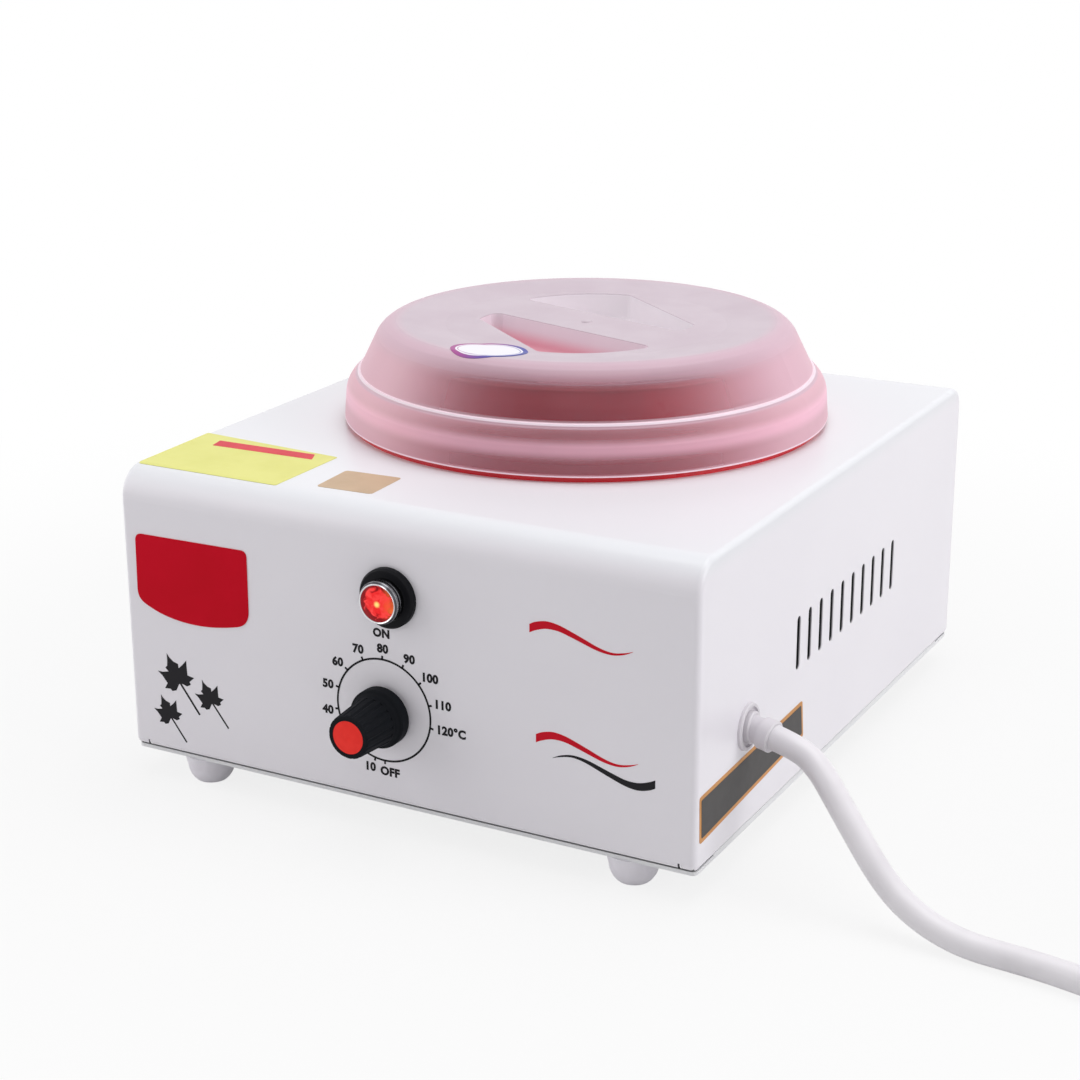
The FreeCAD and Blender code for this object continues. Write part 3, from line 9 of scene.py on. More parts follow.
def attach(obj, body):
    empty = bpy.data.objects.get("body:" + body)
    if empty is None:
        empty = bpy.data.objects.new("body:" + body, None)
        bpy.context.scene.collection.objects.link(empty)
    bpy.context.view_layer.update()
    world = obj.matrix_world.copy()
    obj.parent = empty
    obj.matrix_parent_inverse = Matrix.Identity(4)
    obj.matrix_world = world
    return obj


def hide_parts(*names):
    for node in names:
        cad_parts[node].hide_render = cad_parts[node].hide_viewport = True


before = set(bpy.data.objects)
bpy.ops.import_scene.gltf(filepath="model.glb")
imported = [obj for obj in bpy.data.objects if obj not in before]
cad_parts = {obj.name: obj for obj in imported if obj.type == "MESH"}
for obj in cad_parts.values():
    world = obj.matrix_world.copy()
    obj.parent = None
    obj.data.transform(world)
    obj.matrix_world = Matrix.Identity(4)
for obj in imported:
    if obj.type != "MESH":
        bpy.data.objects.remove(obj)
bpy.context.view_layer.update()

# ---- Camera ---------------------------------------------------------------------------------
# A camera a little above the heater and to the right of its front, with a short telephoto lens.
# Its turn is about the upright axis, its rise above the level, and its roll about its own line.

camera_place = Vector((0.33553, -0.62636, 0.30295))
camera_turn = math.radians(28.5066)
camera_rise = math.radians(18.4455)
camera_roll = math.radians(-0.203)
camera_back = Vector((math.sin(camera_turn) * math.cos(camera_rise),
                      -math.cos(camera_turn) * math.cos(camera_rise), math.sin(camera_rise)))
level_right = (-camera_back).cross(Vector((0, 0, 1))).normalized()
level_up = level_right.cross(-camera_back)
camera_right = math.cos(camera_roll) * level_right + math.sin(camera_roll) * level_up
camera_up = math.cos(camera_roll) * level_up - math.sin(camera_roll) * level_right

lens = bpy.data.cameras.new("studio_camera")
lens.lens = 74.46
lens.sensor_width = 36.0
lens.clip_start = 0.01
lens.clip_end = 100.0
camera = bpy.data.objects.new("studio_camera", lens)
pose = Matrix((camera_right, camera_up, camera_back)).transposed().to_4x4()
pose.translation = camera_place
camera.matrix_world = pose
bpy.context.scene.collection.objects.link(camera)
bpy.context.scene.camera = camera
bpy.context.scene.view_settings.view_transform = "Standard"


# ---- Mains cord, its tie and its plug -------------------------------------------------------
# A round lead in a smooth pale vinyl sheath. It leaves its moulded bushing, drops to the table
# and runs off to the right, where the spare length is wound in two layers and held by a flat
# tie, with the moulded three-pin plug beside it.

class Amount:
    """A value that varies over a surface: arithmetic on it adds Math nodes to its finish."""

    def __init__(self, finish, socket):
        self.finish = finish
        self.socket = socket

    def maths(self, operation, *values, **settings):
        inputs = {place: value for place, value in enumerate(values)}
        return self.finish.node("ShaderNodeMath", dict(settings, operation=operation), inputs)

    def __add__(self, other):
        return self.maths("ADD", self, other)

    def __sub__(self, other):
        return self.maths("SUBTRACT", self, other)

    def __rsub__(self, other):
        return self.maths("SUBTRACT", other, self)

    def __mul__(self, other):
        return self.maths("MULTIPLY", self, other)

    def __truediv__(self, other):
        return self.maths("DIVIDE", self, other)

    __radd__ = __add__
    __rmul__ = __mul__

    def root(self):
        return self.maths("SQRT", self)

    def sine(self):
        return self.maths("SINE", self)

    def most(self, other):
        return self.maths("MAXIMUM", self, other)

    def clamped(self):
        return self.maths("ADD", self, 0.0, use_clamp=True)

    def ramp(self, low, high):
        """0 up to low and 1 from high, with a soft change between; low may be the larger."""
        share = self.maths("ADD", (self - low) / (high - low), 0.0, use_clamp=True)
        return share * share * (3 - 2 * share)


class Finish:
    """One material with one Principled shader, built node by node."""

    def __init__(self, name, **inputs):
        self.material = bpy.data.materials.new(name)
        self.material.use_nodes = True
        self.tree = self.material.node_tree
        self.shader = self.tree.nodes["Principled BSDF"]
        self.places = {}
        self.use(**inputs)

    def feed(self, node, inputs):
        """Link an amount to its input, or set the input's constant."""
        for key, value in inputs.items():
            if isinstance(value, Amount):
                self.tree.links.new(value.socket, node.inputs[key])
            elif isinstance(value, (tuple, list)) and node.inputs[key].type == "RGBA":
                node.inputs[key].default_value = (value[0], value[1], value[2], 1.0)
            else:
                node.inputs[key].default_value = value

    def use(self, **inputs):
        """Set or link the shader's sockets; an underscore stands for a space."""
        short = {"ior": "IOR", "shine": "Specular IOR Level"}
        self.feed(self.shader, {short.get(key, key.replace("_", " ").title()): value
                                for key, value in inputs.items()})
        return self

    def node(self, kind, settings, inputs, output=0):
        """Add a node and give back one of its outputs as an amount."""
        made = self.tree.nodes.new(kind)
        for key, value in settings.items():
            setattr(made, key, value)
        self.feed(made, inputs)
        return Amount(self, made.outputs[output])

    def place(self, centre=(0, 0, 0)):
        """The point on the piece, measured from a centre in the heater's own axes."""
        object_coordinates = 3
        if centre not in self.places:
            point = self.node("ShaderNodeTexCoord", {}, {}, object_coordinates)
            self.places[centre] = self.node("ShaderNodeVectorMath", {"operation": "SUBTRACT"},
                                            {0: point, 1: centre})
        return self.places[centre]

    def along(self, centre=(0, 0, 0)):
        """X, Y and Z of the point, each as an amount."""
        parts = self.node("ShaderNodeSeparateXYZ", {}, {0: self.place(centre)})
        return [Amount(self, socket) for socket in parts.socket.node.outputs]

    def noise(self, scale, detail=3.0, roughness=0.5):
        """Soft patches: the scale is how many there are in a metre."""
        return self.node("ShaderNodeTexNoise", {},
                         {"Vector": self.place(), "Scale": scale, "Detail": detail,
                          "Roughness": roughness})

    def tint(self, share, first, second):
        """A colour that goes from first to second with a share."""
        return self.node("ShaderNodeMix", {"data_type": "RGBA"},
                         {0: share, 6: first, 7: second}, 2)

    def mottled(self, scale, first, second):
        """A colour that wanders between two near shades in soft patches."""
        return self.tint(self.noise(scale).ramp(0.3, 0.7), first, second)

    def bump(self, height, depth, strength):
        """A fine relief: the height's own reach in metres, and how much of it shows."""
        return self.node("ShaderNodeBump", {},
                         {"Strength": strength, "Distance": depth, "Height": height})


def dress(finish, *nodes):
    """Give a finish to pieces that are carried over as they are."""
    for name in nodes:
        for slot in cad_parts[name].material_slots:
            slot.material = finish.material


def piece(name, mesh_or_bmesh, finish, body):
    """Make a finished piece: its mesh in place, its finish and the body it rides."""
    smooth_up_to = math.radians(30.0)
    if isinstance(mesh_or_bmesh, bmesh.types.BMesh):
        bmesh.ops.recalc_face_normals(mesh_or_bmesh, faces=mesh_or_bmesh.faces)
        mesh = bpy.data.meshes.new(name)
        mesh_or_bmesh.to_mesh(mesh)
        mesh_or_bmesh.free()
    else:
        mesh = mesh_or_bmesh
    mesh.materials.clear()
    mesh.materials.append(finish.material)
    mesh.shade_smooth()
    mesh.set_sharp_from_angle(angle=smooth_up_to)
    made = bpy.data.objects.new(name, mesh)
    bpy.context.scene.collection.objects.link(made)
    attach(made, body)
    return made


cord_radius = 0.0039
cord_points = [
    (0.109290, -0.067009, 0.042015), (0.117969, -0.068537, 0.040773), (0.1255, -0.0719, 0.0376),
    (0.1330, -0.0766, 0.0312), (0.1408, -0.0809, 0.0239), (0.1487, -0.0849, 0.0164),
    (0.1571, -0.0883, 0.0103), (0.1677, -0.0909, 0.0059), (0.1788, -0.0925, 0.0039),
    (0.1903, -0.0933, 0.0039), (0.2021, -0.0946, 0.0039), (0.2139, -0.0971, 0.0039),
    (0.2274, -0.0998, 0.0039), (0.2400, -0.0998, 0.0039), (0.2575, -0.0998, 0.0039),
]
coil_x = 0.275
coil_y = -0.0452
turn_points = 24
first_angle = -math.pi / 2
outer_turn = 0.0546
inner_turn = 0.0390
turn_pitch = 0.0078
lower_turns = 2.0
rise_turns = 0.25
all_turns = 4.375


def coil_place(turns):
    """The coil's radius and the height of its lead: inward on the table, then up and outward."""
    if turns < lower_turns:
        radius = outer_turn - turn_pitch * turns
    else:
        radius = inner_turn + turn_pitch * max(0.0, turns - lower_turns - rise_turns)
    lift = min(1.0, max(0.0, (turns - lower_turns) / rise_turns))
    return radius, cord_radius + turn_pitch * lift


# The wound turns follow the drawn points, and the last three lead straight into the plug.
for step in range(int(all_turns * turn_points) + 1):
    turns = step / turn_points
    angle = first_angle + 2 * math.pi * turns
    radius, height = coil_place(turns)
    cord_points.append((coil_x + radius * math.cos(angle), coil_y + radius * math.sin(angle),
                        height))
last_angle = first_angle + 2 * math.pi * all_turns
last_x, last_y, last_z = cord_points[-1]
for reach_to_plug in (0.012, 0.022, 0.030):
    cord_points.append((last_x - reach_to_plug * math.sin(last_angle),
                        last_y + reach_to_plug * math.cos(last_angle), last_z))

cord_line = bpy.data.curves.new("mains_cord", "CURVE")
cord_line.dimensions = "3D"
cord_run = cord_line.splines.new("NURBS")
cord_run.points.add(len(cord_points) - 1)
for point, place in zip(cord_run.points, cord_points):
    point.co = (*place, 1.0)
cord_run.order_u = 3
cord_run.use_endpoint_u = True
cord_run.resolution_u = 8
cord_line.bevel_depth = cord_radius
cord_line.bevel_resolution = 6
cord_line.use_fill_caps = True
mains_cord = bpy.data.objects.new("mains_cord", cord_line)
bpy.context.scene.collection.objects.link(mains_cord)

sheath = Finish("cord_sheath", roughness=0.42, coat_weight=0.1, coat_roughness=0.35)
smudge = sheath.noise(70.0)
sheath.use(base_color=sheath.tint(smudge.ramp(0.35, 0.75), (0.76, 0.735, 0.77),
                                  (0.71, 0.685, 0.72)),
           roughness=0.38 + 0.12 * smudge,
           normal=sheath.bump(sheath.noise(900.0, 2.0), 0.00004, 0.3))
cord_line.materials.append(sheath.material)
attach(mains_cord, "housing")
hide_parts("cord", "cord_coil")

# The tie is a band that follows the outline of the turns it holds, flat where they lie down.
tie = Finish("tie_plastic", base_color=(0.02, 0.02, 0.022), shine=0.2)
tie.use(roughness=0.5 + 0.15 * tie.noise(400.0))
tie_angle = math.radians(200.0)
tie_width = 0.009
tie_thickness = 0.0008
tie_gap = 0.00025
tie_steps = 72
tie_spoke = Vector((math.cos(tie_angle), math.sin(tie_angle), 0))
tie_across = Vector((-math.sin(tie_angle), math.cos(tie_angle), 0))
tied_turns = []
for whole_turns in range(int(all_turns)):
    radius, height = coil_place(whole_turns + (tie_angle - first_angle) / (2 * math.pi))
    tied_turns.append(Vector((radius * math.cos(math.pi / turn_points), height)))
tie_band = bmesh.new()
tie_rings = []
for step in range(tie_steps):
    angle = 2 * math.pi * step / tie_steps
    way = Vector((math.cos(angle), math.sin(angle)))
    core = max(tied_turns, key=way.dot)
    inner = core + way * (cord_radius + tie_gap)
    outer = core + way * (cord_radius + tie_gap + tie_thickness)
    tie_rings.append([
        tie_band.verts.new(Vector((coil_x, coil_y, max(lowest, edge.y))) + tie_spoke * edge.x
                           + tie_across * side * tie_width / 2)
        for edge, lowest, side in ((inner, tie_thickness, -1), (outer, 0, -1),
                                   (outer, 0, 1), (inner, tie_thickness, 1))])
for ring, after in zip(tie_rings, tie_rings[1:] + tie_rings[:1]):
    for corner in range(4):
        beside = (corner + 1) % 4
        tie_band.faces.new((ring[corner], ring[beside], after[beside], after[corner]))
cord_band = piece("cord_band", tie_band, tie, "housing")
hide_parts("cord_tie")

plug = Finish("plug_plastic", base_color=(0.76, 0.76, 0.78), coat_weight=0.2, coat_roughness=0.2)
plug_grain = plug.noise(1400.0, 2.0)
plug.use(roughness=0.34 + 0.1 * plug.noise(60.0), normal=plug.bump(plug_grain, 0.00004, 0.5))
dress(plug, "plug_body")

pin = Finish("pin_brass", metallic=1.0)
pin.use(base_color=pin.mottled(220.0, (0.80, 0.66, 0.36), (0.68, 0.55, 0.30)),
        roughness=0.24 + 0.16 * pin.noise(800.0))
dress(pin, "plug_pins")


# ---- Cord bushing ---------------------------------------------------------------------------
# A pale plastic strain relief moulded on the cord: a ribbed round flange against the side panel
# and a neck that leans with the cord, snapped into its hole by barbs behind the sheet.

bushing = Finish("bushing_plastic", base_color=(0.68, 0.65, 0.69))
bushing.use(roughness=0.45 + 0.12 * bushing.noise(300.0),
            normal=bushing.bump(bushing.noise(1600.0, 2.0), 0.00003, 0.5))
dress(bushing, "cord_bushing")


# ---- Casing ---------------------------------------------------------------------------------
# One bent steel sheet makes the front, top and back, and two flanged panels with vent slots
# close the sides. All are sprayed a glossy white, with the faint ripple that such a coat has.

casing_top = 0.1038
casing_centre_y = 0.01045
bend_start = -0.1010
bend_radius = 0.0100

paint = Finish("panel_paint", coat_weight=0.2, coat_roughness=0.15, shine=0.35)
ripple = paint.noise(420.0, 2.0) + 0.6 * paint.noise(90.0, 2.0)
cloud = paint.noise(9.0)
paint_x, paint_y, paint_z = paint.along((0, casing_centre_y, 0))
past_flat_y = ((paint_y * paint_y).root() + bend_start).most(0.0)
past_flat_z = (paint_z - (casing_top - bend_radius)).most(0.0)
past_flat = (past_flat_y * past_flat_y + past_flat_z * past_flat_z).root()
paint_reach = (paint_x * paint_x).root()
# Painted shade: the panels' inner faces and the cut edges of the vents are painted near-black,
# so that the vents look dark inside.
inner_face_shade = paint_reach.ramp(0.0994, 0.0991) * past_flat.ramp(0.0096, 0.0093)
vent_edge_shade = (paint_reach.ramp(0.0998, 0.0995) * past_flat.ramp(0.0040, 0.0020)
             * paint_z.ramp(0.014, 0.018))
outside_white = paint.tint(cloud.ramp(0.3, 0.7), (0.845, 0.818, 0.868), (0.825, 0.798, 0.850))
# Painted shade: the top and its upper bends are greyer and bluer, to take down the strong light
# and the lid's pink bounce that fall on them.
outside_white = paint.tint(paint_z.ramp(0.0970, 0.1036), outside_white, (0.780, 0.786, 0.824))
painted_shade_dark = (0.035, 0.035, 0.040)
paint.use(base_color=paint.tint(inner_face_shade.most(vent_edge_shade), outside_white, painted_shade_dark),
          roughness=0.30 + 0.10 * cloud,
          normal=paint.bump(ripple, 0.00002, 0.35))
dress(paint, "casing_wrap", "side_panel_left", "side_panel_right")


# ---- Base plate, feet and their screws ------------------------------------------------------
# The flat sheet-steel bottom carries four domed white rubber feet, each on a machine screw and
# nut, and pan-head screws hold it to the casing's lower flanges.

underside = Finish("base_paint", coat_weight=0.2, coat_roughness=0.2)
underside.use(base_color=underside.mottled(30.0, (0.80, 0.80, 0.82), (0.76, 0.76, 0.78)),
              roughness=0.36 + 0.12 * underside.noise(80.0))
dress(underside, "base_plate")

zinc = Finish("zinc_steel", metallic=1.0)
zinc.use(base_color=zinc.mottled(350.0, (0.62, 0.62, 0.64), (0.52, 0.52, 0.53)),
         roughness=0.28 + 0.2 * zinc.noise(1200.0))
dress(zinc, "base_screws", "foot_screws", "foot_nuts", "clamp_stud", "clamp_nut", "earth_screw",
      "earth_nut", "control_washer", "control_nut", "control_spindle")

foot_rubber = Finish("foot_rubber", base_color=(0.84, 0.81, 0.87))
foot_rubber.use(roughness=0.48 + 0.14 * foot_rubber.noise(150.0),
                normal=foot_rubber.bump(foot_rubber.noise(1500.0, 2.0), 0.00004, 0.4))
dress(foot_rubber, "foot_front_left", "foot_front_right", "foot_rear_left", "foot_rear_right")


# ---- Heated well and its element ------------------------------------------------------------
# A drawn aluminium cup hangs under the top sheet. A mica element is clamped to its floor by a
# steel disc on a welded stud, the sensor bulb is clipped below, and glass wool goes round it.

aluminium = Finish("well_aluminium", metallic=1.0, base_color=(0.76, 0.77, 0.78))
aluminium.use(roughness=0.30 + 0.18 * aluminium.noise(500.0, 4.0))
dress(aluminium, "heater_well")

mica = Finish("element_mica")
mica.use(base_color=mica.tint(mica.noise(260.0, 5.0).ramp(0.35, 0.65), (0.60, 0.50, 0.34),
                              (0.46, 0.37, 0.24)),
         roughness=0.42 + 0.2 * mica.noise(500.0))
dress(mica, "heater_plate")

clamp = Finish("clamp_steel", metallic=1.0, base_color=(0.50, 0.50, 0.51))
clamp.use(roughness=0.34 + 0.2 * clamp.noise(700.0))
dress(clamp, "clamp_plate", "bulb_clip")

wool = Finish("blanket_wool")
fibre = wool.noise(1500.0, 6.0, 0.7)
wool.use(base_color=wool.tint(fibre.ramp(0.3, 0.7), (0.86, 0.82, 0.62), (0.70, 0.64, 0.42)),
         roughness=0.85 + 0.1 * fibre, normal=wool.bump(fibre, 0.0006, 0.8))
dress(wool, "insulation_blanket")

copper = Finish("sensor_copper", metallic=1.0)
copper.use(base_color=copper.mottled(160.0, (0.80, 0.46, 0.30), (0.62, 0.34, 0.22)),
           roughness=0.28 + 0.18 * copper.noise(600.0))
dress(copper, "sensor_bulb")


# ---- Pot ------------------------------------------------------------------------------------
# A spun pot in glossy red enamel. Its collar rests on the casing and its neck stands up under
# the lid; the inside has the fine rings that spinning leaves.

pot_centre_y = 0.02445
pot_ring_scale = 2400.0

enamel = Finish("pot_paint", coat_weight=0.3, coat_roughness=0.1, shine=0.3)
pot_x, pot_y = enamel.along((0, pot_centre_y, 0))[:2]
pot_rings = ((pot_x * pot_x + pot_y * pot_y).root() * pot_ring_scale).sine()
enamel_cloud = enamel.noise(45.0)
enamel.use(base_color=enamel.tint(enamel_cloud.ramp(0.3, 0.7), (0.66, 0.010, 0.022),
                                  (0.58, 0.008, 0.018)),
           roughness=0.24 + 0.1 * enamel_cloud, normal=enamel.bump(pot_rings, 0.00002, 0.3))
dress(enamel, "pot")


# ---- Lid ------------------------------------------------------------------------------------
# A thin frosted moulding in clear plastic, with a skirt, a ledge and two finger wells beside a
# grip bar. It is clear enough to show the red neck where it stands close behind the wall, and more
# of that red, a glow and highlights on the ledge and skirt are painted into its colour.

frosted = Finish("lid_frosted", ior=1.46, shine=0.35)
lid_x, lid_y, lid_z = frosted.along((0, pot_centre_y, casing_top))
lid_radius = (lid_x * lid_x + lid_y * lid_y).root()
# The lid's zones go by the height above the casing and the distance from the pot's axis.
outer_wall = lid_radius.ramp(0.0640, 0.0655)
dome_wall = lid_z.ramp(0.0325, 0.0258) * lid_z.ramp(0.0172, 0.0176) * outer_wall
ledge_bead = lid_z.ramp(0.0167, 0.0170) * lid_z.ramp(0.0178, 0.0175) * outer_wall
below_ledge = lid_z.ramp(0.0164, 0.0158)
skirt_top = lid_z.ramp(0.0060, 0.0100) * lid_z.ramp(0.0138, 0.0110)
skirt_edge = lid_z.ramp(0.0026, 0.0022)
near_well = lid_y.ramp(0.0040, -0.0010)
inside_rim = lid_radius.ramp(0.0640, 0.0620)
well_floor = lid_z.ramp(0.0290, 0.0228) * inside_rim * near_well
in_well = inside_rim * lid_z.ramp(0.03188, 0.0316)
mist = frosted.noise(60.0, 4.0)
pale = frosted.tint(mist.ramp(0.3, 0.7), (0.575, 0.485, 0.545), (0.545, 0.450, 0.512))
# Painted light: the outer wall and the skirt take a pink-red that stands in for the red neck's
# light coming through the plastic.
lid_colour = frosted.tint(lid_radius.ramp(0.0600, 0.0665), pale, (0.62, 0.43, 0.51))
lid_colour = frosted.tint(below_ledge, lid_colour, (0.63, 0.42, 0.49))
# Painted highlight: a bright pink band round the skirt's middle, and near-white lines on the ledge
# bead and the skirt's lower edge.
lid_colour = frosted.tint(skirt_top * below_ledge, lid_colour, (0.90, 0.52, 0.64))
lid_colour = frosted.tint(ledge_bead.most(skirt_edge) * 0.9, lid_colour, (0.86, 0.74, 0.82))
# Painted light: the near well's floor is tinted red for the pot's red seen through it.
lid_colour = frosted.tint(well_floor * 0.7, lid_colour, (0.60, 0.26, 0.32))
# A slight painted glow stands for the light that comes through the frosted walls: red on the
# dome wall, the skirt and the near well's floor, and pale on the wells' walls, where on the far
# well it also evens out their shade with the top.
wall_glow = frosted.tint(near_well, (0.225, 0.240, 0.235), (0.23, 0.205, 0.225))
well_glow = frosted.tint(well_floor, wall_glow, (0.20, 0.06, 0.08))
glow_through = frosted.tint(in_well, (0, 0, 0), well_glow)
glow_through = frosted.tint(dome_wall.most(below_ledge * (1 - skirt_top)), glow_through,
                            (0.075, 0.000, 0.003))
head_on = (0.66 - 0.58 * dome_wall - 0.48 * below_ledge + 0.45 * skirt_top * below_ledge
           + 0.80 * ledge_bead.most(skirt_edge) + 0.30 * in_well * (1 - near_well)
           + 0.06 * mist).clamped()
grazing = frosted.node("ShaderNodeLayerWeight", {}, {"Blend": 0.5}, 1).ramp(0.02, 0.60)
frosted.use(base_color=lid_colour, alpha=head_on + (1 - head_on) * grazing,
            emission_color=glow_through, emission_strength=1.0,
            roughness=0.36 + 0.12 * mist,
            normal=frosted.bump(frosted.noise(1800.0, 2.0), 0.00003, 0.4))
dress(frosted, "lid")

gate_place = (0, pot_centre_y, 0.13585)
gate_mark = bmesh.new()
bmesh.ops.create_cone(gate_mark, cap_ends=True, segments=32, radius1=0.0020, radius2=0.0014,
                      depth=0.0005)
bmesh.ops.bevel(gate_mark, geom=gate_mark.edges[:], offset=0.00015, offset_type="OFFSET",
                segments=2, profile=0.5, affect="EDGES", material=-1)
bmesh.ops.translate(gate_mark, verts=gate_mark.verts, vec=gate_place)
piece("lid_gate_mark", gate_mark, frosted, "lid")


# ---- Heat control ---------------------------------------------------------------------------
# A push-on knob of black plastic with fine flutes, a flared skirt, a red cap and a white pointer
# line, on the thermostat's spindle. The scale round it is printed on the panel in black enamel.

front_y = -0.10055
panel_low = 0.0104
control_x = -0.0035
control_z = 0.0397
dial_x = -0.0040
dial_y = 0.0303
angle_of_40 = 189.0
degrees_for_10 = 24.75
front_print_turn = Matrix(((1, 0, 0), (0, 0, -1), (0, 1, 0))).to_4x4()


def drawn_mesh(drawing, x=0.0, y=0.0):
    """The mesh of a filled drawing, moved to x and y and stood on its own plane."""
    holder = bpy.data.objects.new(drawing.name, drawing)
    bpy.context.scene.collection.objects.link(holder)
    bpy.context.view_layer.update()
    depsgraph = bpy.context.evaluated_depsgraph_get()
    mesh = bpy.data.meshes.new_from_object(holder.evaluated_get(depsgraph))
    bpy.data.objects.remove(holder)
    mesh.transform(Matrix.Translation((x, y, drawing.extrude)))
    return mesh


def flat_mesh(name, outlines, thickness):
    """Fill closed outlines drawn flat, as one mesh with a small thickness above its plane."""
    drawing = bpy.data.curves.new(name, "CURVE")
    drawing.dimensions = "2D"
    drawing.fill_mode = "BOTH"
    drawing.extrude = thickness / 2
    for outline in outlines:
        loop = drawing.splines.new("POLY")
        loop.points.add(len(outline) - 1)
        for point, (x, y) in zip(loop.points, outline):
            point.co = (x, y, 0, 1)
        loop.use_cyclic_u = True
    return drawn_mesh(drawing)


def ring_outline(x, y, radius, count=96):
    """Points evenly round a circle."""
    return [(x + radius * math.cos(2 * math.pi * step / count),
             y + radius * math.sin(2 * math.pi * step / count)) for step in range(count)]


def bar_outline(start, end, width):
    """The four corners of a straight line of some width."""
    along = (Vector(end) - Vector(start)).normalized()
    side = Vector((-along.y, along.x)) * width / 2
    return [tuple(Vector(start) + side), tuple(Vector(start) - side),
            tuple(Vector(end) - side), tuple(Vector(end) + side)]


def lettering(name, words, height, thickness):
    """Upright words as one mesh: the height is that of capitals, and a word has its centre."""
    capital_share = 0.72
    joined = bmesh.new()
    for text, x, y in words:
        word = bpy.data.curves.new(name, "FONT")
        word.body = text
        word.size = height / capital_share
        word.align_x = "CENTER"
        word.extrude = thickness / 2
        word.offset = 0.00018
        word.space_character = 1.06
        word.resolution_u = 3
        joined.from_mesh(drawn_mesh(word, x, y - height / 2))
    whole = bpy.data.meshes.new(name)
    joined.to_mesh(whole)
    joined.free()
    return whole


def on_front(mesh):
    """Stand a flat print on the front panel: its X stays, its Y goes up."""
    mesh.transform(Matrix.Translation((0, front_y, panel_low)) @ front_print_turn)
    return mesh


ink = Finish("print_black", base_color=(0.010, 0.009, 0.012), shine=0.15)
ink.use(roughness=0.40 + 0.15 * ink.noise(700.0))
print_thickness = 0.00006
dial_radius = 0.0165
dial_line = 0.00064
tick_reach = 0.0012
mark_angles = [270.0, 258.0, 235.0, 212.0]  # OFF, 10, 20 and 30, then 40 to 120
mark_angles += [angle_of_40 - degrees_for_10 * tens for tens in range(9)]
ring = [ring_outline(dial_x, dial_y, dial_radius + dial_line / 2),
        ring_outline(dial_x, dial_y, dial_radius - dial_line / 2)]
hub = Vector((dial_x, dial_y))
ticks = []
for angle in mark_angles:
    spoke = Vector((math.cos(math.radians(angle)), math.sin(math.radians(angle))))
    ticks.append(bar_outline(hub + spoke * dial_radius, hub + spoke * (dial_radius + tick_reach),
                             dial_line))
piece("dial_ring", on_front(flat_mesh("dial_ring", ring, print_thickness)), ink, "housing")
piece("dial_ticks", on_front(flat_mesh("dial_ticks", ticks, print_thickness)), ink, "housing")

number_height = 0.0027
dial_numbers = [
    ("10", -0.0094, 0.0109), ("OFF", -0.0023, 0.0104), ("40", -0.0242, 0.0269),
    ("50", -0.0239, 0.0354), ("60", -0.0201, 0.0433), ("70", -0.0126, 0.0488),
    ("80", -0.0038, 0.0504), ("90", 0.0055, 0.0487), ("100", 0.0125, 0.0439),
    ("110", 0.0168, 0.0360), ("120°C", 0.0196, 0.0279), ("30", -0.0207, 0.0195),
    ("20", -0.0155, 0.0139),
]
numbers = lettering("dial_numbers", dial_numbers, number_height, print_thickness)
piece("dial_numbers", on_front(numbers), ink, "housing")

case = Finish("control_case", base_color=(0.03, 0.03, 0.034))
case.use(roughness=0.45 + 0.15 * case.noise(500.0))
dress(case, "thermostat_body")

knob_plastic = Finish("knob_black", base_color=(0.0085, 0.0095, 0.0120), shine=0.06)
knob_grain = knob_plastic.noise(1800.0, 2.0)
knob_plastic.use(roughness=0.58 + 0.14 * knob_grain,
                 normal=knob_plastic.bump(knob_grain, 0.00005, 0.5))
dress(knob_plastic, "control_knob")

cap = Finish("cap_red", shine=0.12)
cap.use(base_color=cap.mottled(300.0, (0.95, 0.040, 0.030), (0.90, 0.034, 0.026)),
        roughness=0.34 + 0.1 * cap.noise(900.0))
dress(cap, "knob_cap")

pointer_white = Finish("pointer_white", base_color=(0.82, 0.82, 0.80))
pointer_white.use(roughness=0.42 + 0.12 * pointer_white.noise(900.0))
pointer_angle = math.radians(angle_of_40)
pointer_spoke = Vector((math.cos(pointer_angle), 0, math.sin(pointer_angle)))
foot_reach, foot_radius = 0.0085, 0.00761
tip_reach, tip_radius = 0.0196, 0.00678
pointer_foot = Vector((control_x, front_y - foot_reach, control_z)) + pointer_spoke * foot_radius
pointer_tip = Vector((control_x, front_y - tip_reach, control_z)) + pointer_spoke * tip_radius
pointer_size = (0.0009, (pointer_tip - pointer_foot).length, 0.0005)
pointer = bmesh.new()
bmesh.ops.create_cube(pointer, size=1.0)
bmesh.ops.scale(pointer, verts=pointer.verts, vec=pointer_size)
bmesh.ops.bevel(pointer, geom=pointer.edges[:], offset=0.0001, offset_type="OFFSET", segments=2,
                profile=0.5, affect="EDGES", material=-1)
pointer_along = (pointer_tip - pointer_foot).normalized()
pointer_side = pointer_along.cross(pointer_spoke).normalized()
pointer_out = pointer_side.cross(pointer_along)
pointer_place = Matrix((pointer_side, pointer_along, pointer_out)).transposed().to_4x4()
pointer_place.translation = (pointer_foot + pointer_tip) / 2
bmesh.ops.transform(pointer, matrix=pointer_place, verts=pointer.verts)
piece("knob_pointer", pointer, pointer_white, "control")


# ---- Pilot lamp -----------------------------------------------------------------------------
# A neon lamp behind a red cut-glass jewel in a chromed bezel, with a black rubber ring between
# the bezel and the panel. A nut behind the sheet holds the barrel.

rubber = Finish("seal_rubber", base_color=(0.004, 0.004, 0.006), shine=0.12)
rubber.use(roughness=0.42 + 0.2 * rubber.noise(700.0),
           normal=rubber.bump(rubber.noise(1500.0, 2.0), 0.00005, 0.5))
dress(rubber, "lamp_ring")

lamp_centre = (-0.0010, front_y, 0.0776)
chrome = Finish("bezel_chrome", metallic=1.0)
chrome_reach = 0 - chrome.along(lamp_centre)[1]
barrel = chrome_reach.ramp(0.0070, 0.0067)
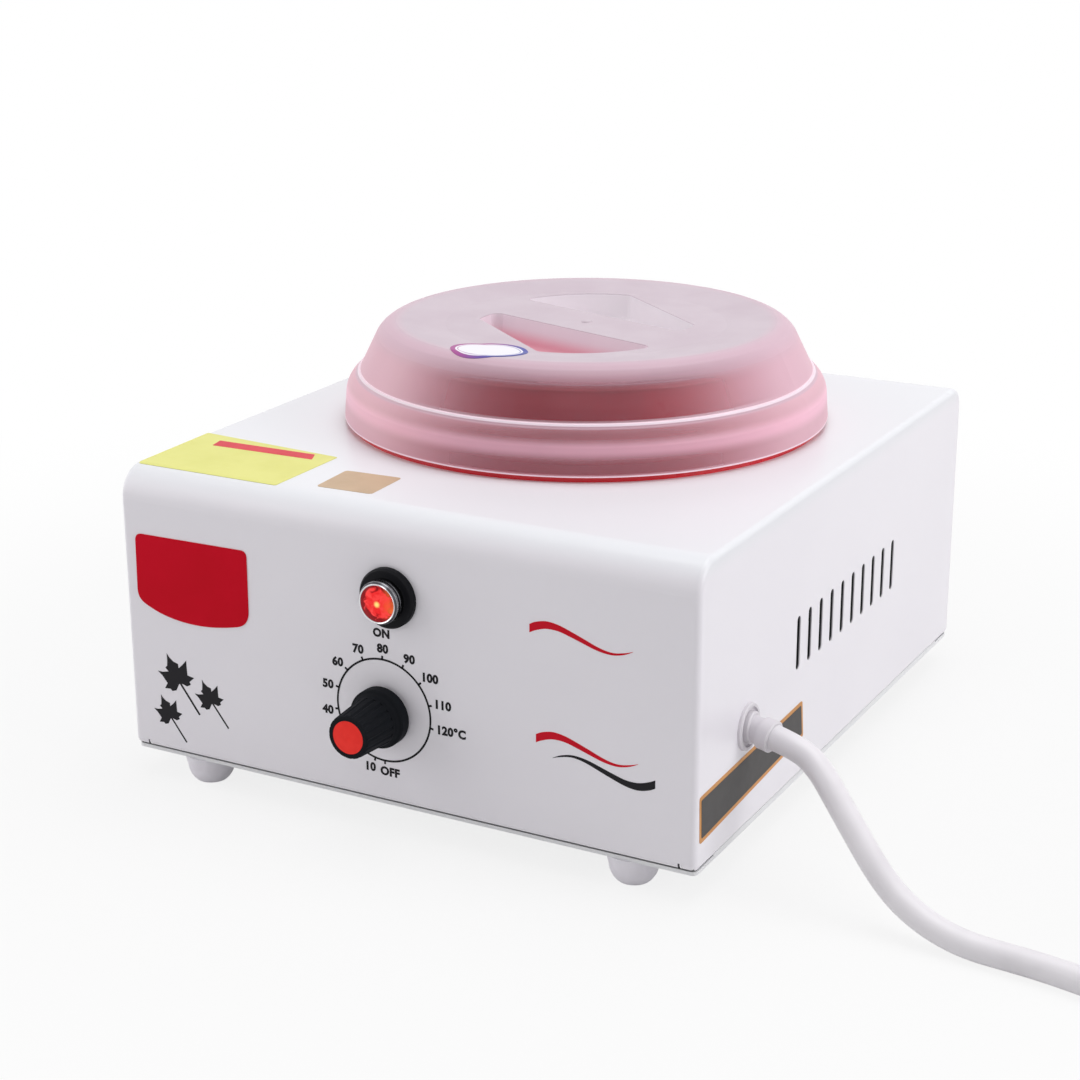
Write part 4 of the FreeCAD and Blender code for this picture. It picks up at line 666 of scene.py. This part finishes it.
# Painted reflection: the barrel's side is dark with pale bands along it, standing in for what the
# chrome mirrors.
reflection_bands = (chrome_reach * 3600.0).sine().ramp(-0.6, 0.8)
barrel_reflection = chrome.tint(reflection_bands, (0.07, 0.07, 0.08), (0.42, 0.42, 0.44))
chrome.use(base_color=chrome.tint(barrel, (0.80, 0.79, 0.81), barrel_reflection),
           roughness=0.14 + 0.08 * chrome.noise(900.0))
dress(chrome, "lamp_bezel")

jewel = Finish("lens_red", base_color=(0.05, 0.001, 0.002), shine=0.12, emission_strength=1.0)
jewel_x, _, jewel_z = jewel.along(lamp_centre)
jewel_radius = (jewel_x * jewel_x + jewel_z * jewel_z).root()
jewel_angle = jewel_z.maths("ARCTAN2", jewel_z, jewel_x)
# The facets are streaks that run outward, with amber on the right and a spark in the middle.
cut = jewel.node("ShaderNodeCombineXYZ", {}, {0: jewel_angle * 0.9, 1: jewel_radius * 260.0})
streak = jewel.node("ShaderNodeTexNoise", {}, {"Vector": cut, "Scale": 1.5, "Detail": 2.0,
                                               "Roughness": 0.55, "Distortion": 0.8})
left_below = (jewel_x * -0.6 + jewel_z * -0.5).ramp(-0.0030, 0.0036)
rim_dark = (jewel_radius + 0.0075 * (streak - 0.5) + 0.0012 * left_below).ramp(0.0042, 0.0056)
amber = jewel_x.ramp(0.0015, 0.0052) * streak.ramp(0.35, 0.62)
spark_right = 0.0006
spark_up = 0.0002
spark_x = jewel_x - spark_right
spark_z = jewel_z - spark_up
spark = (spark_x * spark_x + spark_z * spark_z).root().ramp(0.0013, 0.0002)
glow = jewel.tint(streak.ramp(0.30, 0.66), (0.95, 0.060, 0.055), (0.80, 0.012, 0.014))
glow = jewel.tint(rim_dark, glow, (0.20, 0.000, 0.002))
glow = jewel.tint(amber * 0.8, glow, (0.92, 0.17, 0.035))
jewel.use(roughness=0.14, emission_color=jewel.tint(spark, glow, (1.0, 0.80, 0.22)),
          normal=jewel.bump(streak, 0.0004, 0.4))
dress(jewel, "lamp_lens")

holder_plastic = Finish("holder_plastic", base_color=(0.66, 0.64, 0.58))
holder_plastic.use(roughness=0.45 + 0.15 * holder_plastic.noise(400.0))
dress(holder_plastic, "lamp_holder")

brass = Finish("lamp_brass", metallic=1.0)
brass.use(base_color=brass.mottled(300.0, (0.78, 0.62, 0.32), (0.66, 0.50, 0.26)),
          roughness=0.26 + 0.2 * brass.noise(900.0))
dress(brass, "lamp_nut", "terminal_screws")

lamp_word_height = 0.0026
lamp_word = lettering("lamp_word", [("ON", -0.0041, 0.0553)], lamp_word_height, print_thickness)
piece("lamp_word", on_front(lamp_word), ink, "housing")


# ---- Printed and stuck-on panels ------------------------------------------------------------
# The front has a bare crimson plate with a bowed lower edge, three printed leaves with stems and
# three printed waves. The plate is thin self-adhesive foil; the rest is enamel ink.

crimson = Finish("plate_crimson", shine=0.05)
crimson.use(base_color=crimson.mottled(40.0, (0.60, 0.003, 0.018), (0.56, 0.003, 0.015)),
            roughness=0.38 + 0.1 * crimson.noise(200.0))


def rounded(corners, steps=8):
    """Round a closed outline of straight sides: each corner is x, y and the reach of its round."""
    outline = []
    for index, (x, y, reach) in enumerate(corners):
        corner = Vector((x, y))
        before = Vector(corners[index - 1][:2]) - corner
        after = Vector(corners[(index + 1) % len(corners)][:2]) - corner
        first = corner + before.normalized() * min(reach, 0.5 * before.length)
        last = corner + after.normalized() * min(reach, 0.5 * after.length)
        for step in range(steps + 1):
            share = step / steps
            outline.append(tuple(first * (1 - share) ** 2 + corner * 2 * share * (1 - share)
                                 + last * share ** 2))
    return outline


plate_corners = [
    (-0.0949, 0.0728, 0.0024), (-0.0953, 0.0509, 0.0034), (-0.0873, 0.0473, 0.0044),
    (-0.0785, 0.0457, 0.0045), (-0.0695, 0.0456, 0.0045), (-0.0610, 0.0468, 0.0045),
    (-0.0525, 0.0490, 0.0050), (-0.0523, 0.0734, 0.0023),
]
plate_thickness = 0.00025
plate = flat_mesh("front_plate", [rounded(plate_corners)], plate_thickness)
piece("front_plate", on_front(plate), crimson, "housing")

leaf_edge = [
    (-0.38, 0.99), (-0.26, 0.83), (-0.05, 0.67), (0.19, 0.60), (0.21, 0.41), (0.44, 0.62),
    (0.63, 0.84), (0.64, 0.48), (0.66, 0.17), (1.00, 0.11), (0.75, -0.11), (0.81, -0.23),
    (0.60, -0.34), (0.41, -0.28), (0.26, -0.27), (0.17, -0.34), (0.03, -0.63), (-0.18, -0.70),
    (-0.28, -0.61), (-0.57, -0.64), (-0.42, -0.38), (-0.67, -0.08), (-0.90, 0.10), (-0.65, 0.09),
    (-0.33, 0.17), (-0.49, 0.32), (-0.39, 0.42), (-0.37, 0.68),
]
leaf_places = [((-0.0825, 0.0265), 0.00750, (-0.0735, 0.0150)),
               ((-0.0697, 0.0215), 0.00592, (-0.0624, 0.0125)),
               ((-0.0864, 0.0133), 0.00592, (-0.0793, 0.0043))]
stem_root = (0.20, -0.18)
stem_width = 0.095
stem_thickness = print_thickness * 0.8
for count, ((middle_x, middle_y), size, stem_end) in enumerate(leaf_places, 1):
    edge = [(middle_x + size * x, middle_y + size * y) for x, y in leaf_edge]
    leaf = flat_mesh("leaf", [edge], print_thickness)
    piece(f"leaf_{count}", on_front(leaf), ink, "housing")
    stem_start = (middle_x + size * stem_root[0], middle_y + size * stem_root[1])
    stem = flat_mesh("stem", [bar_outline(stem_start, stem_end, size * stem_width)],
                     stem_thickness)
    piece(f"leaf_stem_{count}", on_front(stem), ink, "housing")

wave_steps = 5
wave_ribbon = [
    (0.0000, 0.0000, 0.0026), (0.0018, 0.0009, 0.0026), (0.0044, 0.0017, 0.0024),
    (0.0067, 0.0019, 0.0022), (0.0099, 0.0015, 0.0019), (0.0138, 0.0003, 0.0017),
    (0.0176, -0.0010, 0.0015), (0.0214, -0.0023, 0.0012), (0.0246, -0.0030, 0.0009),
    (0.0274, -0.0031, 0.0007), (0.0306, -0.0024, 0.0005), (0.0331, -0.0014, 0.0001),
]


def wave_outline(x, y, way):
    """A smooth ribbon through its knots; way is -1 for one rotated half round."""
    knots = [Vector(knot) for knot in wave_ribbon]
    knots = [2 * knots[0] - knots[1]] + knots + [2 * knots[-1] - knots[-2]]
    line = []
    for before, here, there, after in zip(knots, knots[1:], knots[2:], knots[3:]):
        for step in range(wave_steps):
            share = step / wave_steps
            line.append(0.5 * (2 * here + (there - before) * share
                               + (2 * before - 5 * here + 4 * there - after) * share ** 2
                               + (3 * here - before - 3 * there + after) * share ** 3))
    line.append(knots[-2])
    upper = [(x + way * run, y + way * (rise + width / 2)) for run, rise, width in line]
    lower = [(x + way * run, y + way * (rise - width / 2)) for run, rise, width in line]
    return upper + lower[::-1]


red_ink = Finish("print_red", shine=0.12)
red_ink.use(base_color=red_ink.mottled(60.0, (0.62, 0.004, 0.020), (0.56, 0.003, 0.016)),
            roughness=0.40 + 0.12 * red_ink.noise(600.0))
for name, x, y, way, colour, slot in (("wave_upper", 0.0464, 0.0658, 1, red_ink, "cap_red"),
                                      ("wave_lower", 0.0484, 0.0319, 1, red_ink, "cap_red"),
                                      ("wave_dark", 0.0870, 0.0254, -1, ink, "knob_black")):
    wave = flat_mesh(name, [wave_outline(x, y, way)], print_thickness)
    piece(name, on_front(wave), colour, "housing")


# ---- Labels on the side and top -------------------------------------------------------------
# Thin foil and paper labels, all bare: a dark one with a gold border low on the right side, a
# yellow one with a red band and a gold one on the top, and a round one on the lid.

foil_gold = Finish("foil_gold", metallic=0.25, shine=0.3)
foil_gold.use(base_color=foil_gold.mottled(120.0, (0.62, 0.29, 0.085), (0.56, 0.25, 0.07)),
              roughness=0.36 + 0.15 * foil_gold.noise(400.0))
foil_dark = Finish("foil_dark", base_color=(0.062, 0.058, 0.058), shine=0.2)
foil_dark.use(roughness=0.42 + 0.12 * foil_dark.noise(300.0))
foil_pale = Finish("foil_pale", metallic=0.2, shine=0.3)
foil_pale.use(base_color=foil_pale.mottled(90.0, (0.57, 0.41, 0.27), (0.52, 0.37, 0.24)),
              roughness=0.38 + 0.12 * foil_pale.noise(400.0))
paper_yellow = Finish("paper_yellow", shine=0.3)
paper_yellow.use(base_color=paper_yellow.mottled(70.0, (0.74, 0.73, 0.23), (0.70, 0.69, 0.20)),
                 roughness=0.40 + 0.1 * paper_yellow.noise(300.0))
band_red = Finish("band_red", shine=0.2)
band_red.use(base_color=band_red.mottled(90.0, (0.68, 0.045, 0.070), (0.62, 0.036, 0.058)),
             roughness=0.40 + 0.1 * band_red.noise(300.0))

side_turn = Matrix(((0, 0, 1), (1, 0, 0), (0, 1, 0))).to_4x4()
side_x = 0.100


def on_side(mesh, rise=0.0):
    """Stand a flat label on the right side: its X goes back along the panel, its Y up."""
    mesh.transform(Matrix.Translation((side_x + rise, casing_centre_y, panel_low)) @ side_turn)
    return mesh


label_thickness = 0.00012
border_corners = [(-0.1092, 0.0232, 0.0012), (-0.1086, 0.0084, 0.0012),
                  (-0.0310, 0.0125, 0.0012), (-0.0326, 0.0251, 0.0012)]
field_corners = [(-0.1080, 0.0220, 0.0006), (-0.1075, 0.0098, 0.0006),
                 (-0.0323, 0.0137, 0.0006), (-0.0337, 0.0238, 0.0006)]
side_label = flat_mesh("side_label", [rounded(border_corners)], label_thickness)
piece("side_label_border", on_side(side_label), foil_gold, "housing")
side_field = flat_mesh("side_field", [rounded(field_corners)], label_thickness / 2)
piece("side_label_field", on_side(side_field, label_thickness), foil_dark, "housing")

bend_cuts = 6
bend_cut_gap = 0.0005


def on_top(mesh, rise=0.0):
    """Lay a flat label on the top, and bend what passes the front edge down with the sheet."""
    label = bmesh.new()
    label.from_mesh(mesh)
    for cut in range(bend_cuts):
        bmesh.ops.bisect_plane(label, geom=label.verts[:] + label.edges[:] + label.faces[:],
                               plane_co=(0, bend_start - bend_cut_gap * cut, 0),
                               plane_no=(0, 1, 0))
    for vertex in label.verts:
        height = bend_radius + rise + vertex.co.z
        angle = max(0.0, bend_start - vertex.co.y) / bend_radius
        vertex.co.y = max(vertex.co.y, bend_start) - height * math.sin(angle)
        vertex.co.z = height * math.cos(angle) - bend_radius
    label.to_mesh(mesh)
    label.free()
    mesh.transform(Matrix.Translation((0, casing_centre_y, casing_top)))
    return mesh


yellow_corners = [(-0.0992, -0.0653, 0.0008), (-0.0983, -0.1033, 0.0012),
                  (-0.0457, -0.1031, 0.0012), (-0.0455, -0.0694, 0.0008)]
band_corners = [(-0.0900, -0.0712, 0.0003), (-0.0889, -0.0768, 0.0003),
                (-0.0513, -0.0755, 0.0003), (-0.0535, -0.0704, 0.0003)]
foil_corners = [(-0.0351, -0.0804, 0.0014), (-0.0342, -0.0985, 0.0014),
                (-0.0150, -0.0976, 0.0014), (-0.0155, -0.0792, 0.0014)]
top_label = flat_mesh("top_label", [rounded(yellow_corners)], label_thickness)
piece("top_label", on_top(top_label), paper_yellow, "housing")
top_band = flat_mesh("top_band", [rounded(band_corners)], label_thickness / 2)
piece("top_label_band", on_top(top_band, label_thickness), band_red, "housing")
top_foil = flat_mesh("top_foil", [rounded(foil_corners)], label_thickness)
piece("top_foil", on_top(top_foil), foil_pale, "housing")

round_place = (-0.0070, -0.0289, 0.1365)
round_size = 0.0123
round_segments = 180
round_rings = 28
round_lift = 0.00015
round_thickness = 0.0001
above_lid = 0.2
round_white = Finish("round_label", shine=0.3)
round_x, round_y = round_white.along(round_place)[:2]
round_radius = (round_x * round_x + round_y * round_y).root()
edge_band = round_radius.ramp(0.0107, 0.0108)
inner_line = round_radius.ramp(0.0097, 0.0098) * round_radius.ramp(0.0102, 0.0101)
side_share = round_x.ramp(-0.008, 0.008)
rim_ink = round_white.tint(side_share, (0.36, 0.06, 0.26), (0.06, 0.07, 0.34))
round_white.use(base_color=round_white.tint(edge_band.most(inner_line * 0.6),
                                            (0.84, 0.82, 0.88), rim_ink),
                roughness=0.40 + 0.1 * round_white.noise(300.0))
lid_surface = BVHTree.FromObject(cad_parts["lid"], bpy.context.evaluated_depsgraph_get())
round_disc = bmesh.new()
bmesh.ops.create_circle(round_disc, cap_ends=True, segments=round_segments, radius=round_size)
middle_face = round_disc.faces[:]
for ring_count in range(round_rings - 1):
    bmesh.ops.inset_region(round_disc, faces=middle_face, thickness=round_size / round_rings,
                           use_even_offset=True, use_boundary=True)
bmesh.ops.translate(round_disc, verts=round_disc.verts, vec=round_place)
for vertex in round_disc.verts:
    landing = lid_surface.ray_cast((vertex.co.x, vertex.co.y, above_lid), (0, 0, -1))[0]
    vertex.co.z = landing.z + round_lift
bmesh.ops.solidify(round_disc, geom=round_disc.faces[:], thickness=round_thickness)
piece("lid_label", round_disc, round_white, "lid")


# ---- Terminal block and wiring --------------------------------------------------------------
# Inside, a ceramic block joins the lead to brown, blue and green insulated wires, and the green
# one is earthed to the base plate by a tinned eyelet.

ceramic = Finish("block_ceramic", base_color=(0.82, 0.80, 0.74))
ceramic.use(roughness=0.5 + 0.2 * ceramic.noise(600.0))
dress(ceramic, "terminal_block")

tinned = Finish("earth_tin", metallic=1.0, base_color=(0.68, 0.68, 0.67))
tinned.use(roughness=0.3 + 0.2 * tinned.noise(800.0))
dress(tinned, "earth_terminal")

for name, node, dark, light in (
        ("wire_brown", "live_wires", (0.10, 0.035, 0.015), (0.14, 0.05, 0.02)),
        ("wire_blue", "neutral_wires", (0.01, 0.05, 0.30), (0.015, 0.07, 0.36)),
        ("wire_green", "earth_wire", (0.03, 0.22, 0.03), (0.04, 0.28, 0.04))):
    insulation = Finish(name)
    insulation.use(base_color=insulation.mottled(300.0, dark, light),
                   roughness=0.36 + 0.14 * insulation.noise(700.0))
    dress(insulation, node)


# ---- Table and lights -----------------------------------------------------------------------
# A plain pale table and an even pale room, with soft lamps above the heater and to each side.
# Seen directly or in a shine, the table and the room are white, darker only close to the heater.

table_half_width = 12.0
table = bmesh.new()
bmesh.ops.create_grid(table, x_segments=1, y_segments=1, size=table_half_width)
table_mesh = bpy.data.meshes.new("table_top")
table.to_mesh(table_mesh)
table.free()
table_top = bpy.data.objects.new("table_top", table_mesh)
bpy.context.scene.collection.objects.link(table_top)

table_finish = Finish("table_white", base_color=(0.70, 0.70, 0.70), roughness=0.8, shine=0.1)
table_x, table_y = table_finish.along()[:2]
table_whiteness = 0.82 + 0.18 * (table_x * table_x + table_y * table_y).root().ramp(0.12, 0.45)
glowing = table_finish.node("ShaderNodeEmission", {}, {"Color": (1, 1, 1), "Strength": 1.0})
rays = table_finish.node("ShaderNodeLightPath", {}, {}).socket.node.outputs
seen = Amount(table_finish, rays["Is Camera Ray"])
for ray in ("Is Glossy Ray", "Is Transmission Ray"):
    seen = seen.most(Amount(table_finish, rays[ray]))
plain = Amount(table_finish, table_finish.shader.outputs[0])
shown = table_finish.node("ShaderNodeMixShader", {},
                          {0: seen * table_whiteness, 1: plain, 2: glowing})
table_out = table_finish.tree.nodes["Material Output"]
table_finish.tree.links.new(shown.socket, table_out.inputs["Surface"])
table_mesh.materials.append(table_finish.material)

room = bpy.data.worlds.new("pale_room")
room.use_nodes = True
bpy.context.scene.world = room
room_tree = room.node_tree
room_plain = room_tree.nodes["Background"]
room_plain.inputs["Color"].default_value = (1, 1, 1, 1)
room_plain.inputs["Strength"].default_value = 0.44
room_white = room_tree.nodes.new("ShaderNodeBackground")
room_white.inputs["Color"].default_value = (1, 1, 1, 1)
room_white.inputs["Strength"].default_value = 1.0
room_path = room_tree.nodes.new("ShaderNodeLightPath")
room_mix = room_tree.nodes.new("ShaderNodeMixShader")
room_seen = room_path.outputs["Is Camera Ray"]
for ray in ("Is Glossy Ray", "Is Transmission Ray"):
    either = room_tree.nodes.new("ShaderNodeMath")
    either.operation = "MAXIMUM"
    room_tree.links.new(room_seen, either.inputs[0])
    room_tree.links.new(room_path.outputs[ray], either.inputs[1])
    room_seen = either.outputs[0]
room_tree.links.new(room_seen, room_mix.inputs[0])
room_tree.links.new(room_plain.outputs[0], room_mix.inputs[1])
room_tree.links.new(room_white.outputs[0], room_mix.inputs[2])
room_tree.links.new(room_mix.outputs[0], room_tree.nodes["World Output"].inputs["Surface"])


def soft_lamp(name, place, target, size, power):
    """A square lamp that faces a point."""
    lamp = bpy.data.lights.new(name, "AREA")
    lamp.shape = "SQUARE"
    lamp.size = size
    lamp.energy = power
    holder = bpy.data.objects.new(name, lamp)
    holder.location = place
    holder.rotation_mode = "QUATERNION"
    holder.rotation_quaternion = (Vector(place) - Vector(target)).to_track_quat("Z", "Y")
    bpy.context.scene.collection.objects.link(holder)


soft_lamp("lamp_above", (0.1, 0.15, 1.3), (0, 0, 0.1), 1.0, 8.2)
soft_lamp("lamp_right", (1.3, 0.1, 0.7), (0, 0, 0.06), 0.9, 8.0)
soft_lamp("lamp_left", (-1.0, -0.5, 0.35), (0, -0.1, 0.06), 1.2, 6.0)
